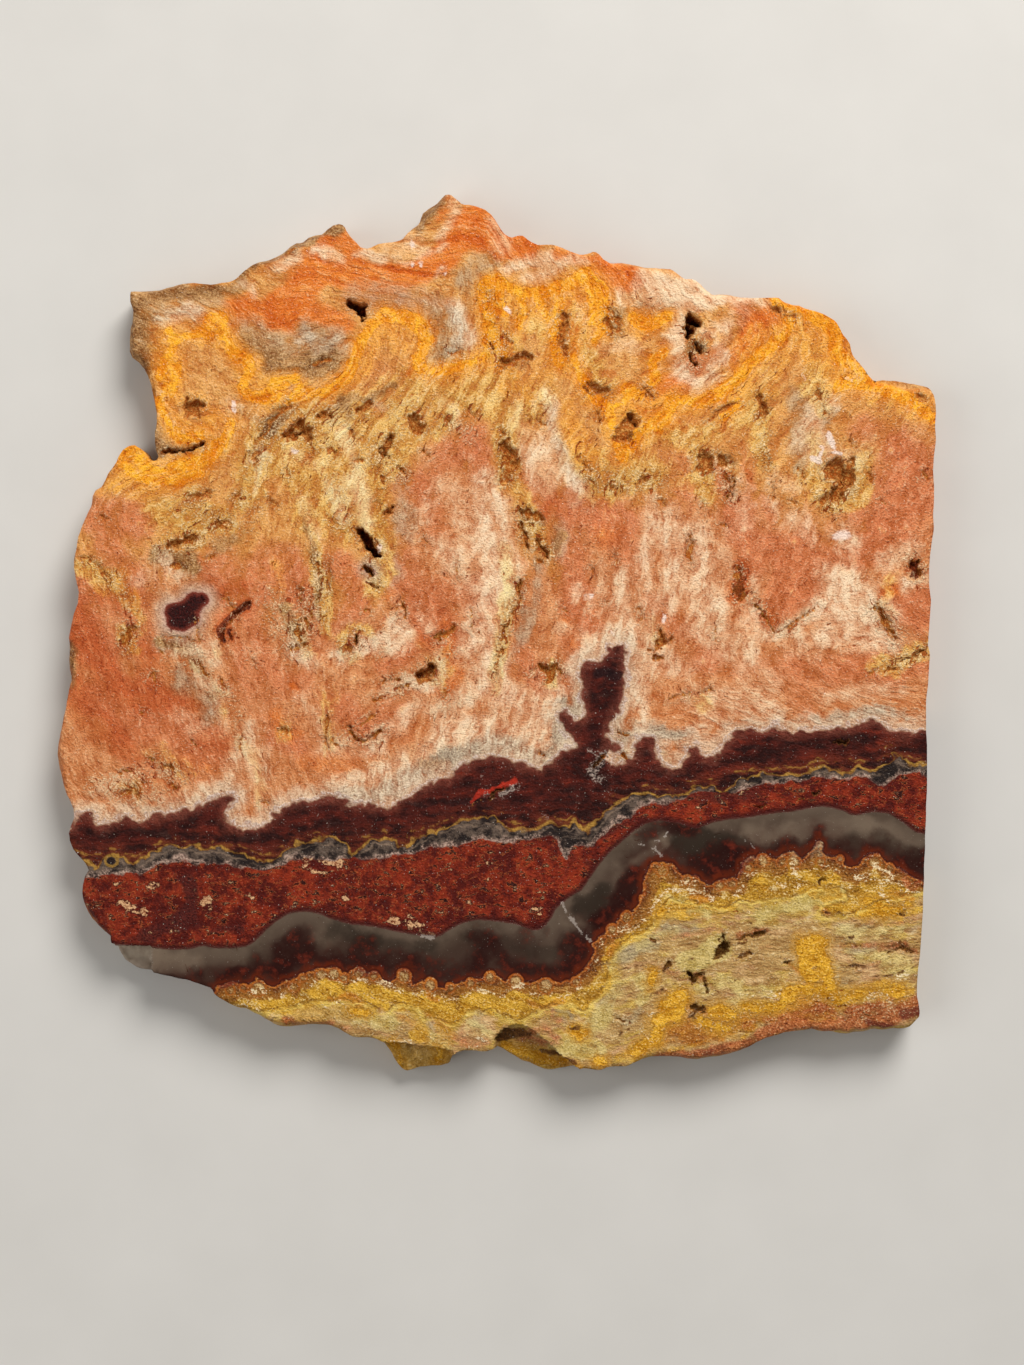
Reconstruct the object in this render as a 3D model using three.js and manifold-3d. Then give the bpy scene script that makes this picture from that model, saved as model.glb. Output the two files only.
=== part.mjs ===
// A sawn slab of banded opal and agate, as one solid.
//
// It lies on its sawn back face. The show face looks up, the straight sawn edge is on +X, and every other edge is
// natural rind or fracture. Millimetres, +Z up, origin at the centre of the outline on the back face.
// The outline is written in trace units, u to the right and v downwards, and UNIT turns them into millimetres.

import * as THREE from "three";
import { mergeVertices } from "three/addons/utils/BufferGeometryUtils.js";
import Module from "manifold-3d";

// ---- Driving dimensions ----
const UNIT = 0.147; // mm in one trace unit
const THICKNESS = 7.0; // mm, between the two sawn faces
const U_MID = (54 + 937) / 2; // the outline's middle, in trace units
const V_MID = (191 + 1076) / 2;
const FACE_INSET = 2.2; // trace units from the rim to the show face where the edge is steep
const BACK_INSET = [1.0, 6.0]; // the same for the back face, least and most
const SAW_INSET = 1.2; // along the straight sawn edge
const RIM_HIGH = [3.3, 5.3]; // mm, height of the rim's upper line, least and most
const RIM_LOW = [1.0, 2.3]; // mm, height of the rim's lower line
const SMALLEST = 0.02; // mm, slivers below this are merged away

// ---- The outline, clockwise as seen from above, from the top left corner ----
const OUTLINE = [
  // top edge, natural rind
  [129, 290], [133, 289], [140, 289], [150, 288], [158, 287], [165, 285], [173, 283], [183, 281], [193, 281], [202, 282],
  [211, 283], [222, 281], [230, 280], [236, 277], [240, 272], [246, 267], [252, 262], [258, 259], [266, 257], [274, 253],
  [281, 248], [288, 241], [294, 238], [300, 238], [306, 233], [313, 231], [320, 231], [327, 226], [333, 223], [340, 222],
  [345, 224], [347, 229], [350, 234], [356, 240], [360, 245], [366, 247], [372, 245], [378, 242], [386, 241], [394, 240],
  [401, 238], [407, 231], [412, 226], [417, 221], [419, 214], [421, 208], [427, 203], [435, 199], [441, 194], [446, 191],
  [452, 193], [458, 198], [463, 203], [470, 203], [478, 205], [486, 208], [492, 213], [497, 219], [501, 226], [505, 232],
  [511, 236], [518, 234], [522, 233], [530, 239], [537, 243], [545, 243], [553, 243], [562, 246], [571, 250], [580, 253],
  [588, 252], [595, 249], [600, 252], [604, 257], [611, 261], [620, 260], [630, 261], [640, 263], [648, 265], [656, 265],
  [665, 266], [672, 267], [679, 272], [685, 277], [694, 277], [701, 281], [707, 287], [714, 292], [722, 291], [732, 292],
  [741, 295], [752, 296], [764, 296], [775, 295], [780, 295], [786, 300], [793, 302], [800, 303], [807, 307], [815, 309],
  [823, 312], [831, 316], [837, 320], [841, 326], [844, 333], [849, 339], [852, 344], [853, 352], [856, 357], [861, 362],
  [866, 368], [870, 374], [876, 379], [885, 377], [895, 377], [905, 378], [914, 380], [923, 382], [930, 384], [934, 388],
  // right edge, sawn
  [936, 395], [937, 403], [937, 412], [936, 425], [937, 440], [935, 455], [934, 470], [935, 485], [935, 500], [934, 515],
  [935, 528], [933, 540], [931, 555], [930, 570], [930, 585], [932, 600], [931, 615], [930, 630], [929, 645], [931, 655],
  [930, 668], [929, 685], [927, 700], [927, 715], [927, 730], [928, 745], [928, 760], [928, 775], [928, 790], [927, 805],
  [927, 820], [926, 835], [926, 850], [925, 865], [925, 880], [924, 895], [924, 910], [923, 925], [922, 940], [921, 955],
  [919, 970], [918, 985], [918, 997], [920, 1005], [922, 1012], [921, 1018], [916, 1024], [911, 1029],
  // bottom edge, rind and fractures, from right to left
  [903, 1031], [893, 1031], [884, 1033], [875, 1032], [866, 1034], [857, 1035], [849, 1037], [841, 1036], [832, 1034],
  [822, 1034], [813, 1031], [804, 1032], [795, 1033], [785, 1034], [776, 1037], [766, 1040], [757, 1044], [750, 1049],
  [741, 1053], [731, 1056], [720, 1059], [710, 1060], [700, 1062], [690, 1062], [680, 1060], [670, 1059], [660, 1059],
  [650, 1059], [642, 1061], [634, 1065], [627, 1068], [618, 1068], [608, 1069], [600, 1072], [592, 1071], [584, 1070],
  [576, 1072], [568, 1073], [560, 1074], [552, 1076], [544, 1075], [537, 1072], [530, 1068], [522, 1066], [515, 1061],
  [508, 1057], [501, 1052], [495, 1050], [488, 1053], [480, 1053], [472, 1052], [464, 1052], [458, 1054], [452, 1060],
  [450, 1067], [443, 1069], [435, 1070], [427, 1071], [419, 1072], [412, 1074], [405, 1076], [400, 1073], [396, 1069],
  [393, 1063], [390, 1056], [386, 1050], [382, 1044], [376, 1041], [368, 1039], [359, 1039], [351, 1038], [344, 1034],
  [337, 1030], [329, 1027], [319, 1027], [309, 1027], [299, 1028], [290, 1029], [282, 1029], [275, 1027], [267, 1023],
  [259, 1018], [252, 1015], [246, 1011], [238, 1010], [231, 1007], [225, 1003], [218, 999], [213, 995], [211, 990],
  [206, 988], [200, 986], [194, 984], [186, 981], [178, 980], [170, 978], [160, 976], [150, 974], [141, 973], [133, 971],
  [126, 967], [120, 962], [116, 956], [113, 949], [109, 943], [109, 937], [103, 933], [96, 928], [90, 921], [85, 913],
  [82, 905], [80, 896], [81, 885], [83, 876], [87, 870], [83, 863], [76, 856], [71, 849], [68, 841], [67, 834],
  // left edge, rind, upwards
  [69, 826], [72, 818], [72, 810], [69, 803], [65, 795], [62, 787], [59, 777], [56, 766], [54, 755], [55, 745],
  [57, 735], [60, 724], [63, 712], [65, 700], [67, 688], [69, 679], [67, 670], [66, 660], [67, 648], [66, 637],
  [69, 625], [72, 613], [76, 603], [77, 592], [74, 580], [72, 568], [72, 559], [75, 548], [76, 538], [80, 526],
  [84, 515], [89, 505], [90, 495], [93, 489], [99, 486], [103, 480], [106, 473], [111, 467], [115, 461], [118, 454],
  [122, 448], [128, 444], [134, 443], [141, 447], [147, 452], [150, 458], [155, 460],
  // the notch and the lobe above it
  [157, 456], [154, 450], [153, 442], [153, 432], [155, 423], [155, 413], [153, 403], [151, 394], [149, 384],
  [146, 376], [142, 368], [136, 361], [130, 357], [126, 350], [126, 340], [127, 329], [130, 319], [131, 309],
  [128, 300], [128, 294],
];

// Stretches where the rind slopes outwards below the show face: [u, v] of the middle, reach along the edge, inset, all in trace units
const SLOPES = [
  [290, 241, 52, 9.5],
  [425, 205, 30, 11],
  [905, 378, 44, 11],
  [128, 345, 40, 4.5],
  [90, 921, 34, 5],
  [560, 1074, 40, 5],
  [700, 1062, 60, 4],
  [66, 660, 60, 4],
];

// Fractures that take the show face away near the edge: outline in trace units, height of what is left, mm
const CHIPS = [
  { left: 3.4, points: [[100, 945.5], [151, 945.5], [150, 985], [96, 985]] }, // thin clear ledge at the lower left
  { left: 3.9, points: [[383, 1043], [402, 1044], [424, 1047], [451, 1051], [470, 1090], [380, 1090]] },
  { left: 3.6, points: [[499, 1040], [510, 1029], [521, 1026], [534, 1033], [548, 1044], [562, 1058], [584, 1076], [560, 1095], [500, 1080]] },
];

// Open pockets in the show face: u, v, half length, half width in trace units, turn in degrees from +X, depth in mm
const POCKETS = [
  [356, 309, 11, 9, 20, 4.4],
  [194, 407, 11, 9, 30, 2.6],
  [297, 433, 13, 8, -15, 3.0],
  [179, 450, 25, 4.5, 12, 3.4],
  [565, 331, 24, 6.5, 92, 1.8],
  [515, 361, 12, 8, 15, 2.4],
  [627, 429, 10, 12, 60, 3.4],
  [599, 390, 11, 5, 5, 2.0],
  [389, 448, 13, 7, 42, 2.4],
  [417, 421, 9, 6, 60, 1.8],
  [693, 322, 8, 9, 40, 4.8],
  [694, 352, 10, 7, 75, 3.4],
  [762, 403, 12, 6, 80, 2.0],
  [708, 458, 9, 9, 0, 2.2],
  [842, 469, 13, 9, 70, 2.8],
  [511, 460, 10, 9, 60, 2.2],
  [368, 542, 13, 7, -38, 5.0],
  [389, 512, 9, 4, 40, 2.4],
  [234, 618, 19, 4.5, 44, 2.6],
  [188, 540, 14, 4, 22, 2.2],
  [423, 676, 12, 9, 40, 3.0],
  [546, 667, 15, 6, -12, 2.4],
  [532, 516, 14, 6, -25, 2.2],
  [740, 578, 14, 6, 85, 2.4],
  [764, 617, 15, 4, -62, 2.0],
  [664, 642, 9, 8, 50, 2.6],
  [917, 568, 7, 9, 70, 2.6],
  [888, 626, 11, 5, -60, 2.2],
  [910, 659, 18, 4, 30, 2.2],
  [504, 790, 20, 4.5, 24, 2.2],
  [723, 948, 11, 6.5, 68, 3.6],
  [696, 979, 11, 6, 20, 2.6],
  [127, 792, 12, 7, 0, 1.8],
  [135, 908, 14, 6, 0, 1.6],
  [315, 590, 26, 4, 96, 1.8],
];

// Pockets open in the back face, the same numbers
const BACK_POCKETS = [
  [362, 548, 11, 7, -30, 3.2],
  [640, 420, 12, 8, 50, 2.8],
  [700, 330, 10, 8, 35, 1.8],
  [300, 452, 10, 7, 0, 2.4],
  [520, 640, 16, 5, 84, 2.4],
  [820, 560, 12, 7, 35, 2.6],
  [205, 660, 12, 6, 60, 2.4],
  [610, 985, 11, 6, 15, 2.2],
  [448, 350, 9, 7, 0, 2.6],
];

// ---- Helpers ----
const toX = (u) => (u - U_MID) * UNIT;
const toY = (v) => (V_MID - v) * UNIT;
// The same number between 0 and 1 for the same input each time
const chance = (a, b = 0) => {
  const s = Math.sin(a * 127.1 + b * 311.7 + 74.7) * 43758.5453;
  return s - Math.floor(s);
};
const between = ([low, high], t) => low + (high - low) * t;

// Unit normals of the outline pointing into the slab, in trace units, averaged over reach neighbours a side
function inwardNormals(points, reach) {
  const n = points.length;
  const sharp = points.map((_, i) => {
    const a = points[(i + n - 1) % n];
    const b = points[(i + 1) % n];
    const length = Math.hypot(b[0] - a[0], b[1] - a[1]);
    return [-(b[1] - a[1]) / length, (b[0] - a[0]) / length];
  });
  return points.map((_, i) => {
    let x = 0;
    let y = 0;
    for (let k = -reach; k <= reach; k++) {
      const s = sharp[(i + k + n) % n];
      x += s[0];
      y += s[1];
    }
    const length = Math.hypot(x, y);
    return [x / length, y / length];
  });
}

// ---- The body: show face, rind slope, rim, wall and back face, with shared vertices ----
function bodyGeometry() {
  const n = OUTLINE.length;
  const normals = inwardNormals(OUTLINE, 3);
  const sawn = ([u, v]) => u > 915 && v > 392 && v < 1000;
  const face = [];
  const back = [];
  const high = [];
  const low = [];
  OUTLINE.forEach((p, i) => {
    let inset = sawn(p) ? SAW_INSET : FACE_INSET + 1.2 * chance(i, 1);
    if (!sawn(p))
      for (const [u, v, reach, most] of SLOPES) {
        const d = Math.hypot(p[0] - u, p[1] - v) / reach;
        if (d < 1) inset = Math.max(inset, most * (0.5 + 0.5 * Math.cos(Math.PI * d)) ** 0.6);
      }
    const behind = sawn(p) ? SAW_INSET : between(BACK_INSET, 0.5 * chance(i, 2) + 0.5 * (0.5 + 0.5 * Math.sin(i * 0.31)));
    const [nu, nv] = normals[i];
    face.push([p[0] + nu * inset, p[1] + nv * inset]);
    back.push([p[0] + nu * behind, p[1] + nv * behind]);
    high.push(sawn(p) ? THICKNESS - 0.35 : between(RIM_HIGH, 0.6 * chance(i, 3) + 0.4 * (0.5 + 0.5 * Math.sin(i * 0.23))));
    low.push(sawn(p) ? 0.35 : between(RIM_LOW, chance(i, 4)));
  });
  const position = [];
  const ring = (points, z) => points.forEach((p, i) => position.push(toX(p[0]), toY(p[1]), typeof z === "number" ? z : z[i]));
  ring(face, THICKNESS);
  ring(OUTLINE, high);
  ring(OUTLINE.map((p, i) => (sawn(p) ? p : [p[0] + normals[i][0] * 2.4 * chance(i, 5), p[1] + normals[i][1] * 2.4 * chance(i, 5)])), low);
  ring(back, 0);
  const index = [];
  // Strips between neighbouring rings; the outline runs clockwise as seen from above
  for (let r = 0; r < 3; r++)
    for (let i = 0; i < n; i++) {
      const j = (i + 1) % n;
      const a = r * n + i;
      const b = r * n + j;
      index.push(a, b, b + n, a, b + n, a + n);
    }
  // The two sawn faces
  const flat = (points) => points.map((p) => new THREE.Vector2(toX(p[0]), toY(p[1])));
  for (const t of THREE.ShapeUtils.triangulateShape(flat(face), [])) index.push(t[0], t[1], t[2]);
  for (const t of THREE.ShapeUtils.triangulateShape(flat(back), [])) index.push(3 * n + t[0], 3 * n + t[2], 3 * n + t[1]);
  const g = new THREE.BufferGeometry();
  g.setAttribute("position", new THREE.Float32BufferAttribute(position, 3));
  g.setIndex(index);
  return g;
}

// A pocket: a rough ball, stretched, turned and sunk into a face
function pocketGeometry([u, v, long, wide, turn, depth], z, seed) {
  const g = new THREE.IcosahedronGeometry(1, 1);
  g.deleteAttribute("normal");
  g.deleteAttribute("uv");
  const merged = mergeVertices(g, 1e-4);
  const p = merged.getAttribute("position");
  for (let i = 0; i < p.count; i++) {
    const s = 0.84 + 0.32 * chance(i + 0.5, seed);
    p.setXYZ(i, p.getX(i) * s * long * UNIT, p.getY(i) * s * wide * UNIT, p.getZ(i) * s * depth);
  }
  merged.rotateZ((turn * Math.PI) / 180);
  merged.translate(toX(u), toY(v), z);
  return merged;
}

// A fracture: everything inside its outline above what is left
function chipGeometry({ points, left }) {
  const shape = new THREE.Shape(points.map((p) => new THREE.Vector2(toX(p[0]), toY(p[1]))));
  const g = new THREE.ExtrudeGeometry(shape, { depth: THICKNESS + 1 - left, bevelEnabled: false });
  g.deleteAttribute("normal");
  g.deleteAttribute("uv");
  const merged = mergeVertices(g, 1e-4);
  merged.translate(0, 0, left);
  return merged;
}

const wasm = await Module();
wasm.setup();

function solid(geometry) {
  return new wasm.Manifold(
    new wasm.Mesh({
      numProp: 3,
      vertProperties: new Float32Array(geometry.getAttribute("position").array),
      triVerts: new Uint32Array(geometry.index.array),
    }),
  );
}

let body = solid(bodyGeometry());
for (const chip of CHIPS) body = body.subtract(solid(chipGeometry(chip)));
POCKETS.forEach((p, i) => {
  body = body.subtract(solid(pocketGeometry(p, THICKNESS + 0.12, i + 1)));
});
BACK_POCKETS.forEach((p, i) => {
  body = body.subtract(solid(pocketGeometry(p, -0.12, i + 101)));
});

const made = body.simplify(SMALLEST).getMesh();
const slabGeometry = new THREE.BufferGeometry();
slabGeometry.setAttribute("position", new THREE.BufferAttribute(made.vertProperties, 3));
slabGeometry.setIndex(new THREE.BufferAttribute(made.triVerts, 1));
slabGeometry.computeVertexNormals();

// Salmon and orange opal over maroon, red jasper, grey chalcedony and yellow opal; one colour stands for them here
const opal = new THREE.MeshStandardMaterial({ color: 0xc9824f, roughness: 0.42, metalness: 0, flatShading: true });

const slab = new THREE.Mesh(slabGeometry, opal);
slab.name = "opal_slab";

const group = new THREE.Group();
group.add(slab);

export default group;
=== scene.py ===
"""A sawn slab of banded opal, lying on its back on a pale floor, seen from straight above.

The slab is one piece. Its outline, bands, streaks and pockets were given as points in trace units, u to the
right and v downwards. One trace unit is 0.147 mm, and the frame's origin is at (495.5, 633.5) on the back face.
"""
import math

import bpy
import numpy as np
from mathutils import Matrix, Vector
from mathutils.geometry import delaunay_2d_cdt


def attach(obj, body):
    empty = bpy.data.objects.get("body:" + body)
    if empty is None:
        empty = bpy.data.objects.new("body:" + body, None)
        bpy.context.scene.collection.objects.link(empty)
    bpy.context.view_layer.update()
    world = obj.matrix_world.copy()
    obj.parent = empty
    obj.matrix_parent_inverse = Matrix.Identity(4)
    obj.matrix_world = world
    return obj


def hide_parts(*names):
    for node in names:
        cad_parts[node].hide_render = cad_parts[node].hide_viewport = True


# ---------------------------------------------------------------- sizes
UNIT = 0.147  # mm in one trace unit
THICK = 7.0  # mm
MID = np.array([495.5, 633.5])
SHEAR = np.array([0.22, 0.30]) / UNIT  # how far the bands lean with depth, trace units per mm


def points(text):
    return np.array([[float(n) for n in p.split(",")] for p in text.split()])


# ---------------------------------------------------------------- the outline, clockwise seen from above
OUTLINE = points("""
129,290 133,289 140,289 150,288 158,287 165,285 173,283 183,281 193,281 202,282 211,283 222,281 230,280 236,277
240,272 246,267 252,262 258,259 266,257 274,253 281,248 288,241 294,238 300,238 306,233 313,231 320,231 327,226
333,223 340,222 345,224 347,229 350,234 356,240 360,245 366,247 372,245 378,242 386,241 394,240 401,238 407,231
412,226 417,221 419,214 421,208 427,203 435,199 441,194 446,191 452,193 458,198 463,203 470,203 478,205 486,208
492,213 497,219 501,226 505,232 511,236 518,234 522,233 530,239 537,243 545,243 553,243 562,246 571,250 580,253
588,252 595,249 600,252 604,257 611,261 620,260 630,261 640,263 648,265 656,265 665,266 672,267 679,272 685,277
694,277 701,281 707,287 714,292 722,291 732,292 741,295 752,296 764,296 775,295 780,295 786,300 793,302 800,303
807,307 815,309 823,312 831,316 837,320 841,326 844,333 849,339 852,344 853,352 856,357 861,362 866,368 870,374
876,379 885,377 895,377 905,378 914,380 923,382 930,384 934,388 936,395 937,403 937,412 936,425 937,440 935,455
934,470 935,485 935,500 934,515 935,528 933,540 931,555 930,570 930,585 932,600 931,615 930,630 929,645 931,655
930,668 929,685 927,700 927,715 927,730 928,745 928,760 928,775 928,790 927,805 927,820 926,835 926,850 925,865
925,880 924,895 924,910 923,925 922,940 921,955 919,970 918,985 918,997 920,1005 922,1012 921,1018 916,1024
911,1029 903,1031 893,1031 884,1033 875,1032 866,1034 857,1035 849,1037 841,1036 832,1034 822,1034 813,1031
804,1032 795,1033 785,1034 776,1037 766,1040 757,1044 750,1049 741,1053 731,1056 720,1059 710,1060 700,1062
690,1062 680,1060 670,1059 660,1059 650,1059 642,1061 634,1065 627,1068 618,1068 608,1069 600,1072 592,1071
584,1070 576,1072 568,1073 560,1074 552,1076 544,1075 537,1072 530,1068 522,1066 515,1061 508,1057 501,1052
495,1050 488,1053 480,1053 472,1052 464,1052 458,1054 452,1060 450,1067 443,1069 435,1070 427,1071 419,1072
412,1074 405,1076 400,1073 396,1069 393,1063 390,1056 386,1050 382,1044 376,1041 368,1039 359,1039 351,1038
344,1034 337,1030 329,1027 319,1027 309,1027 299,1028 290,1029 282,1029 275,1027 267,1023 259,1018 252,1015
246,1011 238,1010 231,1007 225,1003 218,999 213,995 211,990 206,988 200,986 194,984 186,981 178,980 170,978
160,976 150,974 141,973 133,971 126,967 120,962 116,956 113,949 109,943 109,937 103,933 96,928 90,921 85,913
82,905 80,896 81,885 83,876 87,870 83,863 76,856 71,849 68,841 67,834 69,826 72,818 72,810 69,803 65,795 62,787
59,777 56,766 54,755 55,745 57,735 60,724 63,712 65,700 67,688 69,679 67,670 66,660 67,648 66,637 69,625 72,613
76,603 77,592 74,580 72,568 72,559 75,548 76,538 80,526 84,515 89,505 90,495 93,489 99,486 103,480 106,473 111,467
115,461 118,454 122,448 128,444 134,443 141,447 147,452 150,458 155,460 157,456 154,450 153,442 153,432 155,423
155,413 153,403 151,394 149,384 146,376 142,368 136,361 130,357 126,350 126,340 127,329 130,319 131,309 128,300
128,294
""")

# ---------------------------------------------------------------- band edges, left to right across the slab
B0 = points("""
0,833 69,830 79,816 90,815 100,826 113,822 126,815 140,821 157,816 172,813 192,809 209,801 222,796 231,793 235,799
226,810 226,822 243,829 260,828 274,816 283,807 297,801 312,803 324,796 337,796 350,805 370,805 391,807 411,796
424,785 446,779 461,768 476,758 493,756 511,761 528,766 539,769 548,765 558,757 568,749 576,745 575,739
567,734 561,727 558,719 562,713 569,715 575,720 581,719 586,713 584,706 581,699 582,689 580,681 578,672 581,665
591,662 601,660 607,655 610,648 616,643 623,644 626,653 625,664 624,676 626,686 625,695 621,704 617,712 613,720
609,730 607,738 613,742 621,748 612,752 603,753 606,760 616,765 626,762 633,757 636,748 637,741 643,738 652,738
657,742 656,752 661,764 672,768 682,765 687,757 689,748 696,745 701,751 705,759 714,758 723,746 735,732 749,730 762,734 769,730 776,724
781,734 792,732 815,730 838,729 854,725 870,719 882,721 891,732 909,734 930,730 1000,727
""")
B1 = points("""
0,852 66,852 79,858 88,864 97,868 103,858 112,854 122,857 127,864 137,862 151,853 169,845 184,848 192,843 203,849
220,846 234,851 245,854 258,860 270,861 283,853 297,844 314,840 333,838 342,842 348,846 352,854 361,846 372,840
384,838 396,839 399,846 407,846 415,838 426,834 435,833 441,828 448,827 457,821 480,820 490,816 498,817 500,824
504,829 515,829 526,830 537,828 545,823 552,821 560,826 569,826 576,822 583,828 587,833 592,826 597,820 605,811
613,805 620,800 628,796 640,793 650,793 658,796 666,795 676,795 687,793 692,788 698,786 706,787 712,785 723,792
730,786 735,783 742,777 749,778 755,776 762,773 772,777 781,776 788,772 794,773 801,775 808,773 820,765 828,769
836,768 843,773 850,772 856,766 861,767 869,770 877,769 884,764 889,765 894,758 891,752 902,756 907,762 914,765
930,763 1000,760
""")
B2 = points("""
0,876 81,876 94,877 111,874 130,874 153,872 159,865 172,861 192,862 211,864 228,866 249,867 266,870 280,866 297,860
314,858 333,861 352,857 374,859 396,855 413,853 428,846 441,848 454,846 470,842 483,840 498,842 515,842 537,838
548,834 556,836 560,850 566,860 571,850 580,846 591,848 606,833 623,820 640,808 654,803 675,801 698,792 716,792
735,792 749,787 767,785 788,780 804,779 822,777 838,780 852,777 868,779 882,787 895,776 909,773 928,776 1000,776
""")
B3 = points("""
0,935 109,943 126,945 146,946 169,948 188,948 203,944 214,947 234,947 246,945 253,941 260,934 266,928 274,921
285,914 294,911 304,910 313,911 322,913 330,917 337,919 352,923 374,925 391,929 411,933 433,936 441,934 448,929
461,922 478,918 498,920 515,922 532,929 540,928 545,924 550,917 554,909 561,902 569,896 580,890 585,883 591,874
597,865 604,857 610,850 617,844 626,836 634,829 645,822 661,819 680,822 690,826 698,827 705,824 712,821 728,818
749,816 771,812 794,810 813,806 822,805 831,806 838,808 845,810 850,813 856,814 864,812 873,810 881,811 889,812
897,817 905,822 911,827 916,831 928,833 1000,838
""")
B4 = points("""
0,985 190,986 205,994 213,991 219,986 226,985 231,981 237,981 244,985 251,983 256,979 262,980 268,986 276,987 281,981
289,979 296,976 304,973 311,970 318,968 326,968 333,966 338,971 344,974 351,970 359,970 368,972 376,972 383,979
391,981 396,976 399,971 404,969 409,971 412,977 414,983 421,980 428,981 437,986 448,987 455,984 461,981 476,977
486,976 496,974 504,981 510,979 515,976 523,981 532,981 541,979 550,980 558,983 565,981 571,979 576,974 582,970
587,965 591,960 593,952 593,944 597,938 606,931 613,925 619,918 626,913 632,911 638,907 641,900 643,890 643,881
645,874 648,867 652,863 658,861 664,861 671,863 677,868 684,874 690,876 696,874 703,881 709,884 716,881 725,878
735,877 740,872 742,863 748,857 755,856 760,860 769,856 778,858 784,852 792,850 798,854 801,858 808,853 813,849
816,842 818,838 822,842 824,854 832,856 840,855 844,861 847,866 853,867 859,865 864,857 870,853 877,853 884,858
892,865 900,868 908,874 914,877 925,881 1000,888
""")
B5 = points("""
0,1010 250,1012 290,1006 320,1000 330,1001 342,998 352,1002 363,1000 374,1007 385,1013 393,1006 402,1004 411,1004
420,1007 423,1013 426,1018 433,1017 441,1020 450,1023 459,1020 465,1014 472,1011 482,1012 493,1009 500,1014 506,1015
514,1019 522,1020 530,1014 537,1011 546,1007 554,1004 562,1006 569,1004 577,1008 584,1011 591,1004 597,996 604,987
608,978 607,968 610,961 615,951 623,944 628,939 634,934 642,932 650,927 655,919 659,911 665,902 672,897 680,900
689,900 698,903 707,904 717,907 728,907 734,903 739,900 750,902 762,900 772,898 781,897 790,897 799,895 806,890
815,889 824,887 833,888 840,888 846,891 849,897 847,902 838,903 830,906 823,909 821,915 828,917 838,914 850,915
870,905 900,896 925,890 1000,885
""")
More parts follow.
